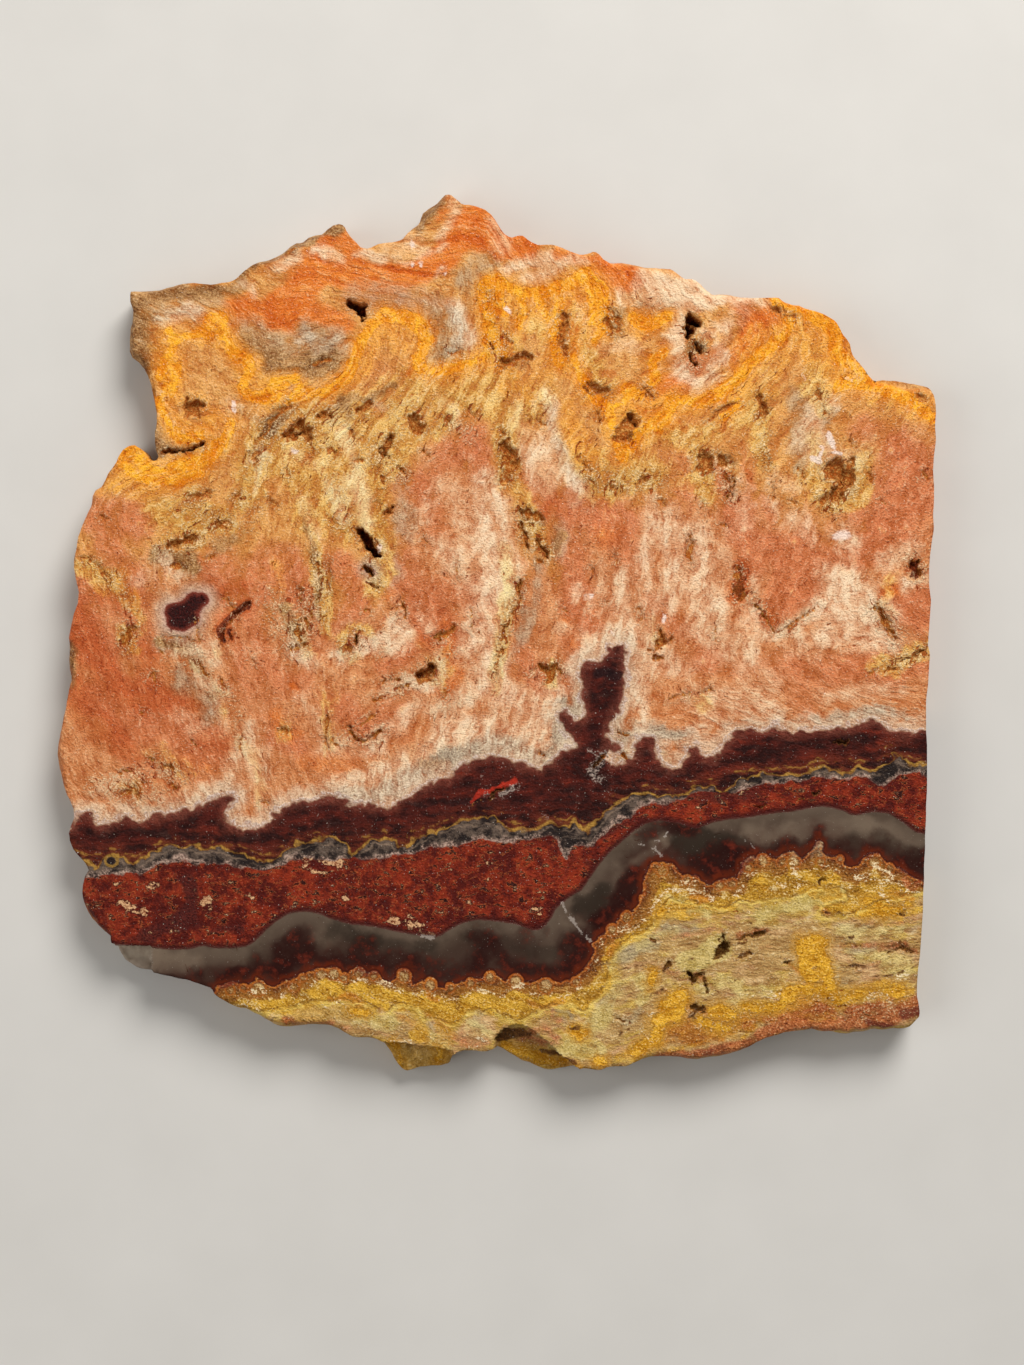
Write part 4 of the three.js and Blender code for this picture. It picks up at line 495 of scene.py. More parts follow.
PALE_SPOTS_AND_GLINTS = [  # near-white spots on the upper opal, several of them painted glints (painted highlights), then pale spots in the jasper and the maroon
    (3, .9, "234,403 234,410"), (3, 1, "585,598 591,596"), (2.4, 1, "664,615 663,622"), (3.2, 1, "829,434 833,446"), (2, .9, "834,452 842,454"),
    (2.6, .9, "822,446 820,458"), (3.2, .9, "812,458 820,462"), (3.5, .5, "846,378 852,380"), (3.5, .5, "802,374 806,380"),
    (4.5, .6, "838,534 846,532"), (4, .6, "834,538 850,537"),  (3, .8, "412,243 413,246"),
    (2.5, .9, "413,263 413,265"), (2.5, .9, "421,263 421,265"), (3, .8, "506,308 510,312"), (3, .8, "380,546 378,552"), (2.5, .7, "446,272 442,276"),
    (3, .8, "296,452 292,450"), (3, .6, "610,632 614,634"),
    (2, .8, "561,900 566,912 572,920"), (2, .8, "572,920 580,930 592,943"), (5, .8, "120,904 130,908 142,910"), (3.4, .7, "142,912 146,914"), (4.4, .75, "305,862 322,860 338,864"), (2.6, .7, "308,870 322,872"),
    (4, .8, "204,900 210,908"), (3, .7, "150,886 158,884"), (5, .7, "392,921 410,922 424,928"), (5, .9, "424,934 430,936"),
    (3.4, .6, "344,898 348,896"), (3, .6, "276,906 280,908"), (4, .7, "536,906 541,910"), (3.6, .7, "502,794 510,790 518,784"),
    (3, .5, "487,862 492,866"), (3, .5, "330,880 334,884"), (4, .5, "452,870 456,874"), (3, .6, "246,892 252,896"),
    (3, .5, "540,812 548,818"), (2.4, .6, "486,794 492,798"), (5, .8, "604,756 598,764 592,772"), (4, .7, "592,774 600,780"), (3, .5, "590,751 597,754"),
    (1.6, .9, "648,846 656,850 662,856"), (1.6, .8, "656,842 664,838 668,832"), (2, .5, "742,838 750,842 756,850"), (1.6, .6, "630,846 640,844 648,846"),
]
SUNNY = [
    (12, .7, "566,406 574,430 590,456"), (10, .6, "806,324 804,345 806,360"), (10, .6, "824,334 826,352 824,370"), (10, .6, "790,356 776,374 764,396"),  # the broken corners of the lower opal, then broad yellow-orange parts around the veins
    (12, 1, "396,1054 414,1060 436,1058"), (9, 1, "404,1070 424,1066 444,1062"), (10, .9, "512,1052 532,1060 562,1068"), (9, .8, "300,1016 330,1012 352,1014"),
    (15, .9, "166,345 172,380 168,412"), (12, .8, "200,335 226,345 250,368"), (14, .9, "180,428 200,432 218,420"), (12, .7, "255,385 280,388 300,386"),
    (15, .7, "385,330 400,340 415,330"), (13, .7, "372,350 356,375 332,390"), (14, .6, "430,372 455,372 480,365"), (18, .9, "488,290 492,330 500,360"),
    (16, .8, "520,300 545,300 570,290"), (15, .8, "590,290 602,330"), (14, .7, "560,320 570,360 590,395"), (16, .9, "605,402 640,404 672,408"),
    (14, .8, "612,425 635,445 652,430"), (15, .8, "680,405 710,397 740,382"), (13, .8, "750,362 778,340"), (17, .8, "800,320 830,335 846,362"),
    (15, .8, "850,378 890,394 926,411"), (14, .9, "128,462 160,472 202,464"), (14, .7, "100,482 140,490 170,486"), (12, .5, "640,332 662,322"),
    (10, .6, "505,392 530,398"), (12, .6, "522,380 545,372 560,350"), (11, .5, "700,330 730,345 760,330"), (10, .5, "200,400 215,420 200,445"),
    (9, .5, "280,560 276,590"), (8, .6, "120,570 132,590"), (9, .5, "560,430 580,455 600,470"),
]
SMOKE = [  # grey-white clear parts just above the maroon band and near the veins
    (12, 1, "345,794 375,794 400,786"), (13, 1, "400,786 425,770 450,762"), (12, 1, "450,760 475,748 500,744"), (12, .9, "500,744 520,750 545,756"), (9, .8, "556,740 566,722 560,700"),
    (8, .6, "566,722 578,708 586,694"), (7, .6, "600,745 622,742"), (7, .7, "640,742 660,734 690,732"), (8, .6, "265,780 268,760"),
    (10, .8, "300,332 318,345 334,340"), (9, .8, "448,312 458,330 452,350"), (9, .7, "160,318 178,312 196,316"), (8, .7, "688,395 704,398 712,380"),
    (8, .6, "556,445 566,468 580,484"), (7, .5, "820,718 850,714 890,712"), (8, .7, "830,440 824,425 836,410"), (7, .4, "206,712 216,700"),
    (8, .5, "900,716 920,712"), (7, .5, "690,728 720,726 760,724"), (9, .6, "545,410 552,430 560,446"),
]
CRUMBLY = [  # where the stone is open and crumbly
    (14, .9, "272,600 280,625 296,650"), (12, .9, "296,640 310,620 306,600"), (10, .8, "318,560 320,590 318,625"), (12, .9, "96,786 120,790 150,800"),
    (10, .8, "140,775 165,770 180,780"), (12, .8, "345,650 362,640 384,650"), (12, .8, "395,685 412,680 432,672"), (10, .7, "348,735 366,742 382,734"),
    (12, .8, "160,545 185,540 210,530"), (12, .8, "180,505 200,515 224,522"), (10, .7, "115,575 128,600 130,640"), (12, .9, "700,456 715,465 730,480"),
    (8, .8, "727,480 732,500"), (12, .7, "590,475 620,484 655,480"), (14, .6, "400,410 440,425 470,435"), (9, .8, "505,445 508,475"),
    (10, .8, "520,515 528,535 545,550"), (9, .7, "518,585 514,610 504,640"), (14, .8, "830,470 845,485 835,505"), (10, .7, "912,560 922,578"),
    (12, .8, "875,605 888,625 898,640"), (10, .7, "890,655 912,658 926,650"), (12, .6, "375,445 390,465 402,478"), (10, .7, "180,670 196,655 206,665"),
    (10, .6, "330,480 342,510 352,530"), (8, .7, "372,560 378,580"), (10, .6, "240,500 256,512 246,530"), (12, .6, "270,430 262,450 250,470"),
    (12, .6, "296,420 320,430 330,418"), (9, .6, "750,595 768,618 790,630"), (9, .6, "760,460 768,440 764,420"), (12, .7, "690,335 700,350 688,365"),
    (9, .6, "440,640 455,650 445,670"), (9, .6, "224,690 236,710 246,735"), (8, .5, "740,570 738,600"), (9, .5, "540,672 560,668"),
    (10, .6, "485,290 500,335 495,350"), (9, .5, "608,315 618,332"), (9, .5, "640,300 655,306 670,300"), (9, .6, "436,716 452,706 470,700"),
    (12, .7, "820,1000 860,1012 900,1004"), (12, .6, "700,1030 740,1020 770,1010"), (10, .5, "330,1015 370,1026 400,1032"),
]
# Lower edge of the golden part of the upper opal
HIGH = points("20,575 90,590 150,560 200,565 250,600 300,560 330,610 375,600 392,520 410,460 450,435 490,440 505,500 525,560 545,560 560,500 600,505 650,495 700,490 760,495 800,510 850,510 872,470 890,430 980,420")
# Directions of the grain, each stroke running along it
FLOW = """
480,470 486,520 500,590 505,650 ; 505,650 490,700 460,740 ; 430,500 440,560 452,620 ; 452,620 440,680 400,750
380,470 372,520 378,580 384,640 ; 340,480 318,540 322,600 326,650 ; 326,650 328,700 345,742 378,735 ; 280,480 268,540 250,600 222,640
250,440 243,490 215,540 190,570 ; 300,400 272,420 250,460 232,500 ; 110,500 140,560 150,620 170,680 ; 80,560 105,590 130,640
75,640 100,680 140,740 180,790 ; 60,760 90,780 130,790 ; 200,640 215,700 240,760 258,800 ; 290,640 285,700 270,760 262,800
360,660 380,700 420,690 ; 420,620 426,650 436,690 ; 510,480 520,520 538,550 548,600 ; 548,600 540,650 520,700 ; 540,650 560,700 556,740
520,400 535,450 560,480 600,500 ; 560,420 580,455 620,480 ; 560,500 600,540 640,600 660,650 ; 620,520 640,580 650,640 642,720
665,500 668,560 672,620 680,680 ; 700,470 702,540 706,620 720,690 ; 740,480 742,560 745,640 760,700 ; 770,420 772,480 778,560
778,560 770,620 790,690 ; 820,430 800,480 800,560 ; 930,440 880,490 820,570 770,640 ; 930,500 880,545 830,590 ; 930,580 890,600 850,640
930,650 890,668 840,680 ; 860,580 880,620 930,640 ; 700,700 760,695 830,690 920,690 ; 640,740 680,725 760,718
840,320 830,380 820,430 ; 870,395 840,430 825,470 ; 930,410 890,420 850,440 ; 760,330 740,370 700,400 ; 700,400 660,430 640,470
640,470 600,480 ; 600,300 595,350 590,400 620,460 ; 560,290 562,340 575,390 590,440 ; 500,290 495,350 505,420 508,470
430,300 440,350 420,390 ; 460,290 455,345 ; 480,370 440,400 400,440 372,500 ; 400,330 370,370 320,400 270,430 ; 240,340 262,370 300,360 345,345
170,340 175,380 170,430 200,450 ; 225,330 215,380 235,420 225,450 ; 225,450 190,475 140,480 100,500 ; 130,300 136,340 150,390
130,292 200,290 260,270 ; 230,300 280,310 310,280 ; 310,280 370,282 430,268 470,230 ; 340,240 380,255 430,240 450,200
500,250 560,262 640,280 ; 640,280 700,295 780,303 ; 480,260 470,300 470,350 ; 800,310 850,350 870,380
600,960 640,920 700,915 800,905 ; 600,1000 650,960 720,940 920,930 ; 620,1030 680,985 760,960 920,955 ; 650,1050 720,1010 800,985 920,980
300,1010 380,1022 460,1030 560,1020 ; 520,1040 560,1050 600,1060 ; 700,1040 800,1010 915,1000
"""
# Open pockets in the show face: depth in mm, half width in trace units, and the points of its middle line
PITS = """
4.6 3.6 350,305 364,305 ; 4.8 4.4 355,309 362,310 ; 4 2.4 359,315 360,318 ; 2.6 7 190,408 198,404 ; 1.6 4 196,414 188,400 ; 3 6 291,436 302,432 ; 2.4 5 300,424 306,438
3.4 2.6 164,452 180,452 203,443 ; 1.2 2.4 314,364 322,362 330,360 ; 1.6 3.4 320,415 329,414 ; 1.8 4 360,412 370,404 ; 1.4 3 290,405 278,415 270,422 ; 1 2.4 272,424 262,438
1 3 254,456 258,454 ; 1.2 3 328,450 334,452 ; 1 2.4 358,460 364,462 ; 1.4 3.2 286,252 294,248 ; 1.8 6 414,418 418,428 ; 2.4 5 382,452 388,440 393,436
1 3 450,354 460,352 ; 2.2 7 506,448 512,462 ; 1.4 5 508,470 505,480 ; 1 2.2 501,427 503,435 ; 2.2 5 504,364 516,360 526,356 ; 1.4 3 500,368 504,362
1 2.4 507,338 509,344 ; 1.6 1.4 488,343 494,347 ; 1.8 4.6 565,314 564,334 563,350 ; 1 3.4 611,310 618,320 617,330 ; 1.4 3 606,320 612,328
2 4.6 593,387 606,390 ; 1.6 2.4 584,390 590,392 ; 1.2 2 643,386 648,390 652,398 ; 1 1.6 640,388 646,396 ; 2 8 620,436 632,424 ; 3.4 4 630,418 634,424 ; 3 3 624,440 632,436
1.4 2 597,412 599,422 ; 1 1.2 577,456 586,465 593,472 ; 5 5.5 690,318 696,324 ; 4.6 4 688,328 690,334 ; 3 3.4 698,344 700,352 ; 2.6 3 690,356 694,362
1.6 3 774,311 782,311 ; 1 2.4 788,315 794,316 ; 1.4 2.8 710,419 724,410 736,403 ; 1.8 4.4 761,398 763,410 ; 1 1.6 768,456 770,466
1 2 824,406 826,412 ; 1.4 3.4 818,392 822,400 ; 2.4 10 836,468 846,476 ; 2.8 6 844,484 836,494 ; 2 4 826,498 820,500 ; 1.6 4 852,462 850,470
2.2 7 702,458 708,466 ; 1.4 5 700,468 706,456 ; 1.8 5 723,458 725,464 ; 1.4 1.4 725,474 727,486 ; 1.6 1.4 732,476 733,497 ; 1.4 1.2 729,480 729,500
1 2 720,523 725,525 ; 1.4 3 918,394 924,398 ; 1 2.4 922,476 926,479 ; 2 3.6 170,548 182,542 194,538 ; 1.2 3 173,566 179,567 ; 1.4 4 192,498 206,494
1.2 3 218,524 226,521 ; 1 2.2 102,517 105,518 ; 1 1.8 84,558 96,564 110,576 ; 1.4 4 124,644 128,634 132,628 ; 1.2 2 148,678 153,674 ; 1 1.6 140,713 145,712
2.2 1.8 250,603 243,608 236,614 ; 1.8 1.8 235,616 229,623 224,632 222,641 ; 1.2 1.2 232,630 231,640 ; .9 1 158,638 170,637 182,638 194,640 ; 1.2 1.4 199,662 203,669 207,677 ; 1 1.4 160,650 165,654 ; 1 1.4 152,676 157,684 ; .8 1 204,692 208,698 ; 1.2 1.2 317,562 318,580 316,600 313,621 ; .8 1 328,560 330,590
1.2 3 296,630 300,640 ; 1.4 2.4 306,620 310,630 ; 1.4 2.6 292,650 302,644 ; 1.4 3.4 281,731 287,732 ; 1.4 1.4 327,716 326,732 328,748
2.2 2.6 385,514 396,508 ; 4.6 4 360,533 367,541 ; 1.6 2 357,531 362,530 ; 5 4.6 369,547 376,553 ; 1.4 2 376,541 380,547 ; 3.6 3.2 366,570 372,571 ; 1.6 1.8 371,586 376,587 ; 1 1.6 364,610 369,611
2.6 2.4 355,636 357,644 ; .8 3 346,646 352,650 ; 1.6 1.6 402,604 404,618 ; 1 1.4 396,608 394,616 ; 1 1.6 423,536 425,541
1.6 2.6 436,636 446,632 456,628 ; 1.4 2 440,640 438,632 ; 3.2 6 421,676 430,668 ; 2.2 3.4 418,682 428,680 ; 1.4 2.4 393,680 399,682
1.4 2 383,683 388,680 ; 1.2 2 375,699 380,698 ; 1.6 2.2 348,728 354,738 364,742 ; 1.6 2.2 364,742 374,738 380,730 ; 1 1.6 332,740 340,748
2 5 524,514 532,517 540,520 ; 1.6 2.6 536,514 544,518 ; 1.8 1.8 538,540 543,550 549,558 ; 1.8 1.5 522,522 525,538 529,550
1.4 2 538,560 541,562 ; 1.8 3.4 520,582 518,598 ; 1.4 1.5 517,595 512,610 507,626 ; 1.2 1.3 507,626 502,640 498,658 496,676
2 4.6 542,668 550,672 556,668 ; 1.2 1.6 530,672 536,668 ; 1.2 1.8 556,664 561,672 ; 1.6 3 548,680 554,676 ; 1.4 1.5 691,536 690,550 692,564 ; 1.2 1.2 687,540 688,556
1.1 4.6 741,568 740,580 738,596 ; 1.4 2 756,604 762,612 768,624 ; 1.4 1.8 768,624 774,634 ; 2.2 5 660,645 667,644 ; 1.8 2.4 660,632 663,640 ; 1.6 2.6 655,655 662,658 ; 1.4 1.4 648,648 654,650
1.4 1.8 704,692 712,689 ; 2.2 4.6 915,562 919,574 ; 1.8 3 876,606 884,618 892,634 ; 1.8 2.6 888,632 894,638 ; 2 1.6 899,662 912,658 924,651
1.4 2 889,669 896,667 ; 1.2 1.8 870,674 876,672 ; 1.2 1.2 774,634 790,626 806,616 819,607 ; 2.2 2.2 837,742 844,743 848,741
1.6 1.6 488,797 498,791 508,786 ; .8 1.2 470,806 480,800 ; 1 1.6 151,758 157,759 ; 1.2 3.4 122,794 132,790 ; 1 2.4 143,783 149,784
1 2 170,786 175,788 ; 1.2 2 165,767 173,768 ; 1 2 262,803 267,804 ; 1.4 1.2 757,808 764,806 ; 1.6 1.6 814,793 818,791
1.2 1.2 798,801 804,799 ; 3 6 720,953 726,945 ; 1.8 2.4 725,940 727,934 ; 2.6 3 688,976 692,980 ; 2 2 695,980 702,974 ; 1.4 1.4 703,976 705,985 708,990 ; 1.4 2.4 664,969 669,965 ; .8 1.8 651,940 657,939 ; 2 2.2 704,984 708,990
1.6 1.8 753,935 758,935 765,932 ; 1 1.8 742,957 752,952 ; 1.8 1.8 787,961 790,962 ; 1 1.4 852,966 857,967 ; 1.2 1.2 890,952 902,948 914,952 ; 1.8 2.4 820,881 826,880
1 1.4 900,912 905,913 ; 2 3.4 694,1010 702,1008 ; 1 2 617,1020 624,1020 ; 1.2 1.4 738,940 750,936 ; 1 1.2 846,944 860,946
1.8 2.4 622,754 628,758 ; 2.2 2 596,766 600,760 605,756 ; 1.4 1.6 618,732 626,735 ; 1.4 1.8 540,752 544,756 ; 1 1.6 136,786 139,800 ; 1 1.6 118,775 130,770
1.2 2 225,600 231,606 ; 1 1.4 196,620 200,640 ; .8 1.2 208,560 214,556 ; 1.4 1.5 400,690 412,684 ; 1 1.5 360,724 372,716
1 1.4 440,700 446,690 ; .8 1.4 470,610 474,630 ; .8 1.2 455,560 458,580 ; 1 1.3 590,566 594,574 ; 1 1.3 614,552 618,566
.8 1.2 604,602 612,600 ; 1 1.4 670,700 690,694 ; .8 1.3 716,626 716,640 ; .8 1.3 700,500 704,516 ; .8 1.2 772,480 774,500
1.2 1.6 640,610 644,620 ; .8 1.3 560,606 566,612 ; 1 1.6 255,420 262,424 ; 1 1.8 270,500 276,506 ; .9 1.6 232,500 240,494
1.4 2.2 300,590 302,600 ; 1 1.6 250,660 256,664 ; .9 1.6 222,680 226,690 ; 1 1.6 190,740 196,746 ; .9 1.5 240,740 242,752
1 2 850,440 852,446 ; 1 1.6 866,470 870,480 ; .9 1.5 880,500 886,504 ; 1 1.8 800,470 804,476 ; .9 1.5 790,500 796,504
1.2 2.4 610,488 616,490 ; 1 2 640,478 646,482 ; 1 1.6 660,500 666,506 ; .9 1.6 590,480 594,486 ; 1 2 540,420 546,424
1 2 470,410 476,414 ; .9 1.6 448,420 452,426 ; 1 1.8 425,450 430,456 ; 1.2 2 400,470 404,476 ; 1 1.8 380,476 384,482
1 1.8 350,430 354,436 ; 1 1.6 310,446 314,450 ; 1 1.8 286,470 290,476 ; .9 1.6 330,520 334,526 ; 1 1.6 376,500 380,506
"""
# Open pockets in the back face
BACK_PITS = """
3.2 7 358,552 370,544 ; 2.8 7 636,424 648,416 ; 1.8 6 696,332 706,328 ; 2.4 7 294,452 308,452 ; 2.4 4 519,626 522,654
2.6 7 812,566 828,556 ; 2.4 6 200,666 210,654 ; 2.2 6 602,988 618,982 ; 2.6 6 442,352 454,350 ; 1.6 3 700,600 710,640
1.6 3 260,560 270,590 ; 1.4 3 560,480 580,500 ; 1.6 3 420,520 440,560 ; 1.2 2.4 760,960 780,956 ; 1.6 3 150,540 170,520
"""
# Broken corners, where the rim of the show face slopes down
SLOPED_RIND = [  # middle, reach along the edge, width of the slope in trace units, drop at the rim in mm
    (290, 241, 58, 10, 3.6), (425, 205, 34, 11, 4.2), (906, 379, 46, 13, 3.2), (128, 345, 50, 6, 2.6), (160, 288, 50, 5, 2),
    (90, 921, 40, 5, 2), (640, 262, 70, 5, 1.8), (720, 293, 50, 5, 2), (790, 302, 40, 4, 1.6), (700, 1061, 90, 5, 2),
    (860, 1033, 90, 5, 2.4), (66, 660, 80, 4, 1.4), (300, 1027, 60, 4, 2), (54, 755, 60, 5, 1.8), (90, 500, 50, 4, 1.4),
    (250, 1014, 40, 4, 2),
]


# ---------------------------------------------------------------- small tools for numbers
rng = np.random.default_rng(20)
TABLE = rng.random((64, 64, 64)).astype(np.float32)


def noise3(p, scale, seed=0, detail=3):
    """Smooth noise between -1 and 1 at points p (n x 3), with lumps about 1 / scale across."""
    total = np.zeros(len(p))
    size = 1.0
    whole = 0.0
    for k in range(detail):
        q = p * scale * 2.03**k + np.array([17.3, 5.7, 11.1]) * (seed + 1) + 3.7 * k
        base = np.floor(q).astype(np.int64)
        f = q - base
        f = f * f * (3 - 2 * f)
        value = 0.0
        for dx in (0, 1):
            for dy in (0, 1):
                for dz in (0, 1):
                    w = np.where(dx, f[:, 0], 1 - f[:, 0]) * np.where(dy, f[:, 1], 1 - f[:, 1]) * np.where(dz, f[:, 2], 1 - f[:, 2])
                    value = value + w * TABLE[(base[:, 0] + dx) & 63, (base[:, 1] + dy) & 63, (base[:, 2] + dz) & 63]
        total += size * (value * 2 - 1)
        whole += size
        size *= 0.5
    return total / whole


def noise2(p, scale, seed=0, detail=3):
    return noise3(np.column_stack([p, np.full(len(p), 0.37)]), scale, seed, detail)


def smooth(x, low, high):
    t = np.clip((x - low) / (high - low), 0, 1)
    return t * t * (3 - 2 * t)


def near_line(p, line, far=70.0, chunk=3000):
    """Distance in trace units from each point to a line, up to about far."""
    a, b = line[:-1], line[1:]
    d = b - a
    length2 = np.maximum((d**2).sum(1), 1e-9)
    low = np.minimum(a[:, 0], b[:, 0]) - far
    high = np.maximum(a[:, 0], b[:, 0]) + far
    order = np.argsort(p[:, 0])
    out = np.full(len(p), far)
    for s in range(0, len(p), chunk):
        who = order[s : s + chunk]
        q = p[who]
        use = (high >= q[0, 0]) & (low <= q[-1, 0])
        if not use.any():
            continue
        qx, qy = q[:, 0, None] - a[None, use, 0], q[:, 1, None] - a[None, use, 1]
        dx, dy = d[None, use, 0], d[None, use, 1]
        t = np.clip((qx * dx + qy * dy) / length2[None, use], 0, 1)
        r = (qx - t * dx) ** 2 + (qy - t * dy) ** 2
        out[who] = np.minimum(np.sqrt(r.min(1)), far)
    return out


def inside(p, poly):
    """True for each point inside a closed outline."""
    hit = np.zeros(len(p), dtype=bool)
    x, y = p[:, 0], p[:, 1]
    for (x1, y1), (x2, y2) in zip(poly, np.roll(poly, -1, axis=0)):
        if y1 == y2:
            continue
        cross = (y1 > y) != (y2 > y)
        hit ^= cross & (x < (x2 - x1) * (y - y1) / (y2 - y1) + x1)
    return hit


def below(p, line):
    """Signed distance in mm to a band edge: above it negative, below it positive."""
    d = near_line(p, line)
    poly = np.vstack([line, [[line[-1, 0], 3000], [line[0, 0], 3000]]])
    return np.where(inside(p, poly), d, -d) * UNIT


def soft_strokes(p, strokes):
    """How strongly soft strokes cover each point, 0 to about 1."""
    clear = np.ones(len(p))
    for radius, strength, text in strokes:
        line = points(text)
        reach = radius * 1.7
        near = (
            (p[:, 0] > line[:, 0].min() - reach) & (p[:, 0] < line[:, 0].max() + reach)
            & (p[:, 1] > line[:, 1].min() - reach) & (p[:, 1] < line[:, 1].max() + reach)
        )
        if not near.any():
            continue
        line = line if len(line) > 1 else np.vstack([line, line + 0.01])
        d = near_line(p[near], line)
        clear[near] *= 1 - strength * (1 - smooth(d, radius * 0.25, reach))
    return 1 - clear


def hard_strokes(p, strokes, far=4.0):
    """Signed distance in mm to the nearest of some crisp strokes, negative inside."""
    best = np.full(len(p), far)
    for half, text in strokes:
        line = points(text)
        line = line if len(line) > 1 else np.vstack([line, line + 0.01])
        reach = half + far / UNIT
        near = (
            (p[:, 0] > line[:, 0].min() - reach) & (p[:, 0] < line[:, 0].max() + reach)
            & (p[:, 1] > line[:, 1].min() - reach) & (p[:, 1] < line[:, 1].max() + reach)
        )
        if near.any():
            d = near_line(p[near], line)
            best[near] = np.minimum(best[near], (d - half) * UNIT)
    return best


def strokes_of(text):
    found = []
    for entry in text.replace("\n", " ; ").split(";"):
        words = entry.split()
        if words:
            found.append((float(words[0]), float(words[1]), points(" ".join(words[2:]))))
    return found


def pit_depth(p, pits, seed):
    """Depth in mm of the open pockets at each point, and the signed distance in mm to the nearest pocket's edge."""
    depth = np.zeros(len(p))
    edge = np.full(len(p), 4.0)
    warp = np.column_stack([noise2(p, 0.13, seed, 3), noise2(p, 0.13, seed + 1, 3)])
    rough = noise2(p, 0.24, seed + 2, 3)
    for deep, half, line in pits:
        reach = half * 1.6 + 4.0 / UNIT
        near = (
            (p[:, 0] > line[:, 0].min() - reach) & (p[:, 0] < line[:, 0].max() + reach)
            & (p[:, 1] > line[:, 1].min() - reach) & (p[:, 1] < line[:, 1].max() + reach)
        )
        if not near.any():
            continue
        q = p[near] + warp[near] * min(7.0, 3.2 + half * 0.8)
        d = near_line(q, line) + rough[near] * min(half * 0.9, 4.0)
        r = d / half
        edge[near] = np.minimum(edge[near], (d - half) * UNIT)
        share = 0.35 if deep < 1.5 else 0.42 if deep < 2.4 else 0.5 if deep < 4 else 0.75
        wall = (1 - smooth(r, 0.45, 1.1)) * deep * share * (1 + 0.6 * rough[near])
        depth[near] = np.maximum(depth[near], wall)
    return np.minimum(depth, THICK * 0.85), edge


# ---------------------------------------------------------------- the rim
def resample(poly, step):
    closed = np.vstack([poly, poly[:1]])
    length = np.concatenate([[0], np.cumsum(np.hypot(*np.diff(closed, axis=0).T))])
    n = int(round(length[-1] / step))
    s = np.arange(n) * length[-1] / n
    return np.column_stack([np.interp(s, length, closed[:, 0]), np.interp(s, length, closed[:, 1])]), s


def inward(ring, reach):
    d = np.roll(ring, -1, axis=0) - np.roll(ring, 1, axis=0)
    n = np.column_stack([-d[:, 1], d[:, 0]])
    n /= np.maximum(np.hypot(*n.T), 1e-9)[:, None]
    total = sum(np.roll(n, k, axis=0) for k in range(-reach, reach + 1))
    return total / np.maximum(np.hypot(*total.T), 1e-9)[:, None]


def is_sawn(p):
    return smooth(p[:, 0], 908, 916) * smooth(p[:, 1], 388, 396) * (1 - smooth(p[:, 1], 1002, 1012))


LEDGE = points("90,946 151,946.5 150.5,990 90,990")
CHUNK = points("383,1043 402,1044 424,1047 440,1049 452,1052 470,1090 380,1090")
FRACTURE = points("495,1038 502,1031 510,1027 521,1025 534,1031 548,1043 562,1057 584,1074 575,1095 495,1085")


def front_height(p):
    """Height of the show face in mm at points in trace units, without its pockets."""
    z = np.full(len(p), THICK)
    rim = near_line(p, np.vstack([OUTLINE, OUTLINE[:1]]))
    lump = noise2(p, 0.09, 3, 4)
    for u, v, reach, wide, drop in SLOPED_RIND:
        along = np.hypot(p[:, 0] - u, p[:, 1] - v) / reach
        share = 0.5 + 0.5 * np.cos(math.pi * np.clip(along, 0, 1))
        width = wide * (0.35 + 0.65 * share) * (1 + 0.35 * lump)
        z -= drop * share**0.7 * (1 - smooth(rim / np.maximum(width, 0.5), 0, 1))
    # the thin clear ledge at the lower left, with a sharp step on its right
    ledge = inside(p + 0.6 * lump[:, None], LEDGE)
    z = np.where(ledge, np.minimum(z, 3.5 + 0.35 * lump), z)
    chunk = inside(p + 2.0 * lump[:, None], CHUNK)
    z = np.where(chunk, np.minimum(z, 5.2 - (p[:, 1] - 1044) * 0.06 + 0.9 * lump), z)
    broken = inside(p + 1.6 * lump[:, None], FRACTURE)
    z = np.where(broken, np.minimum(z, 5.9 - (p[:, 1] - 1026) * 0.085 + 0.5 * lump), z)
    return np.maximum(z, 1.4)


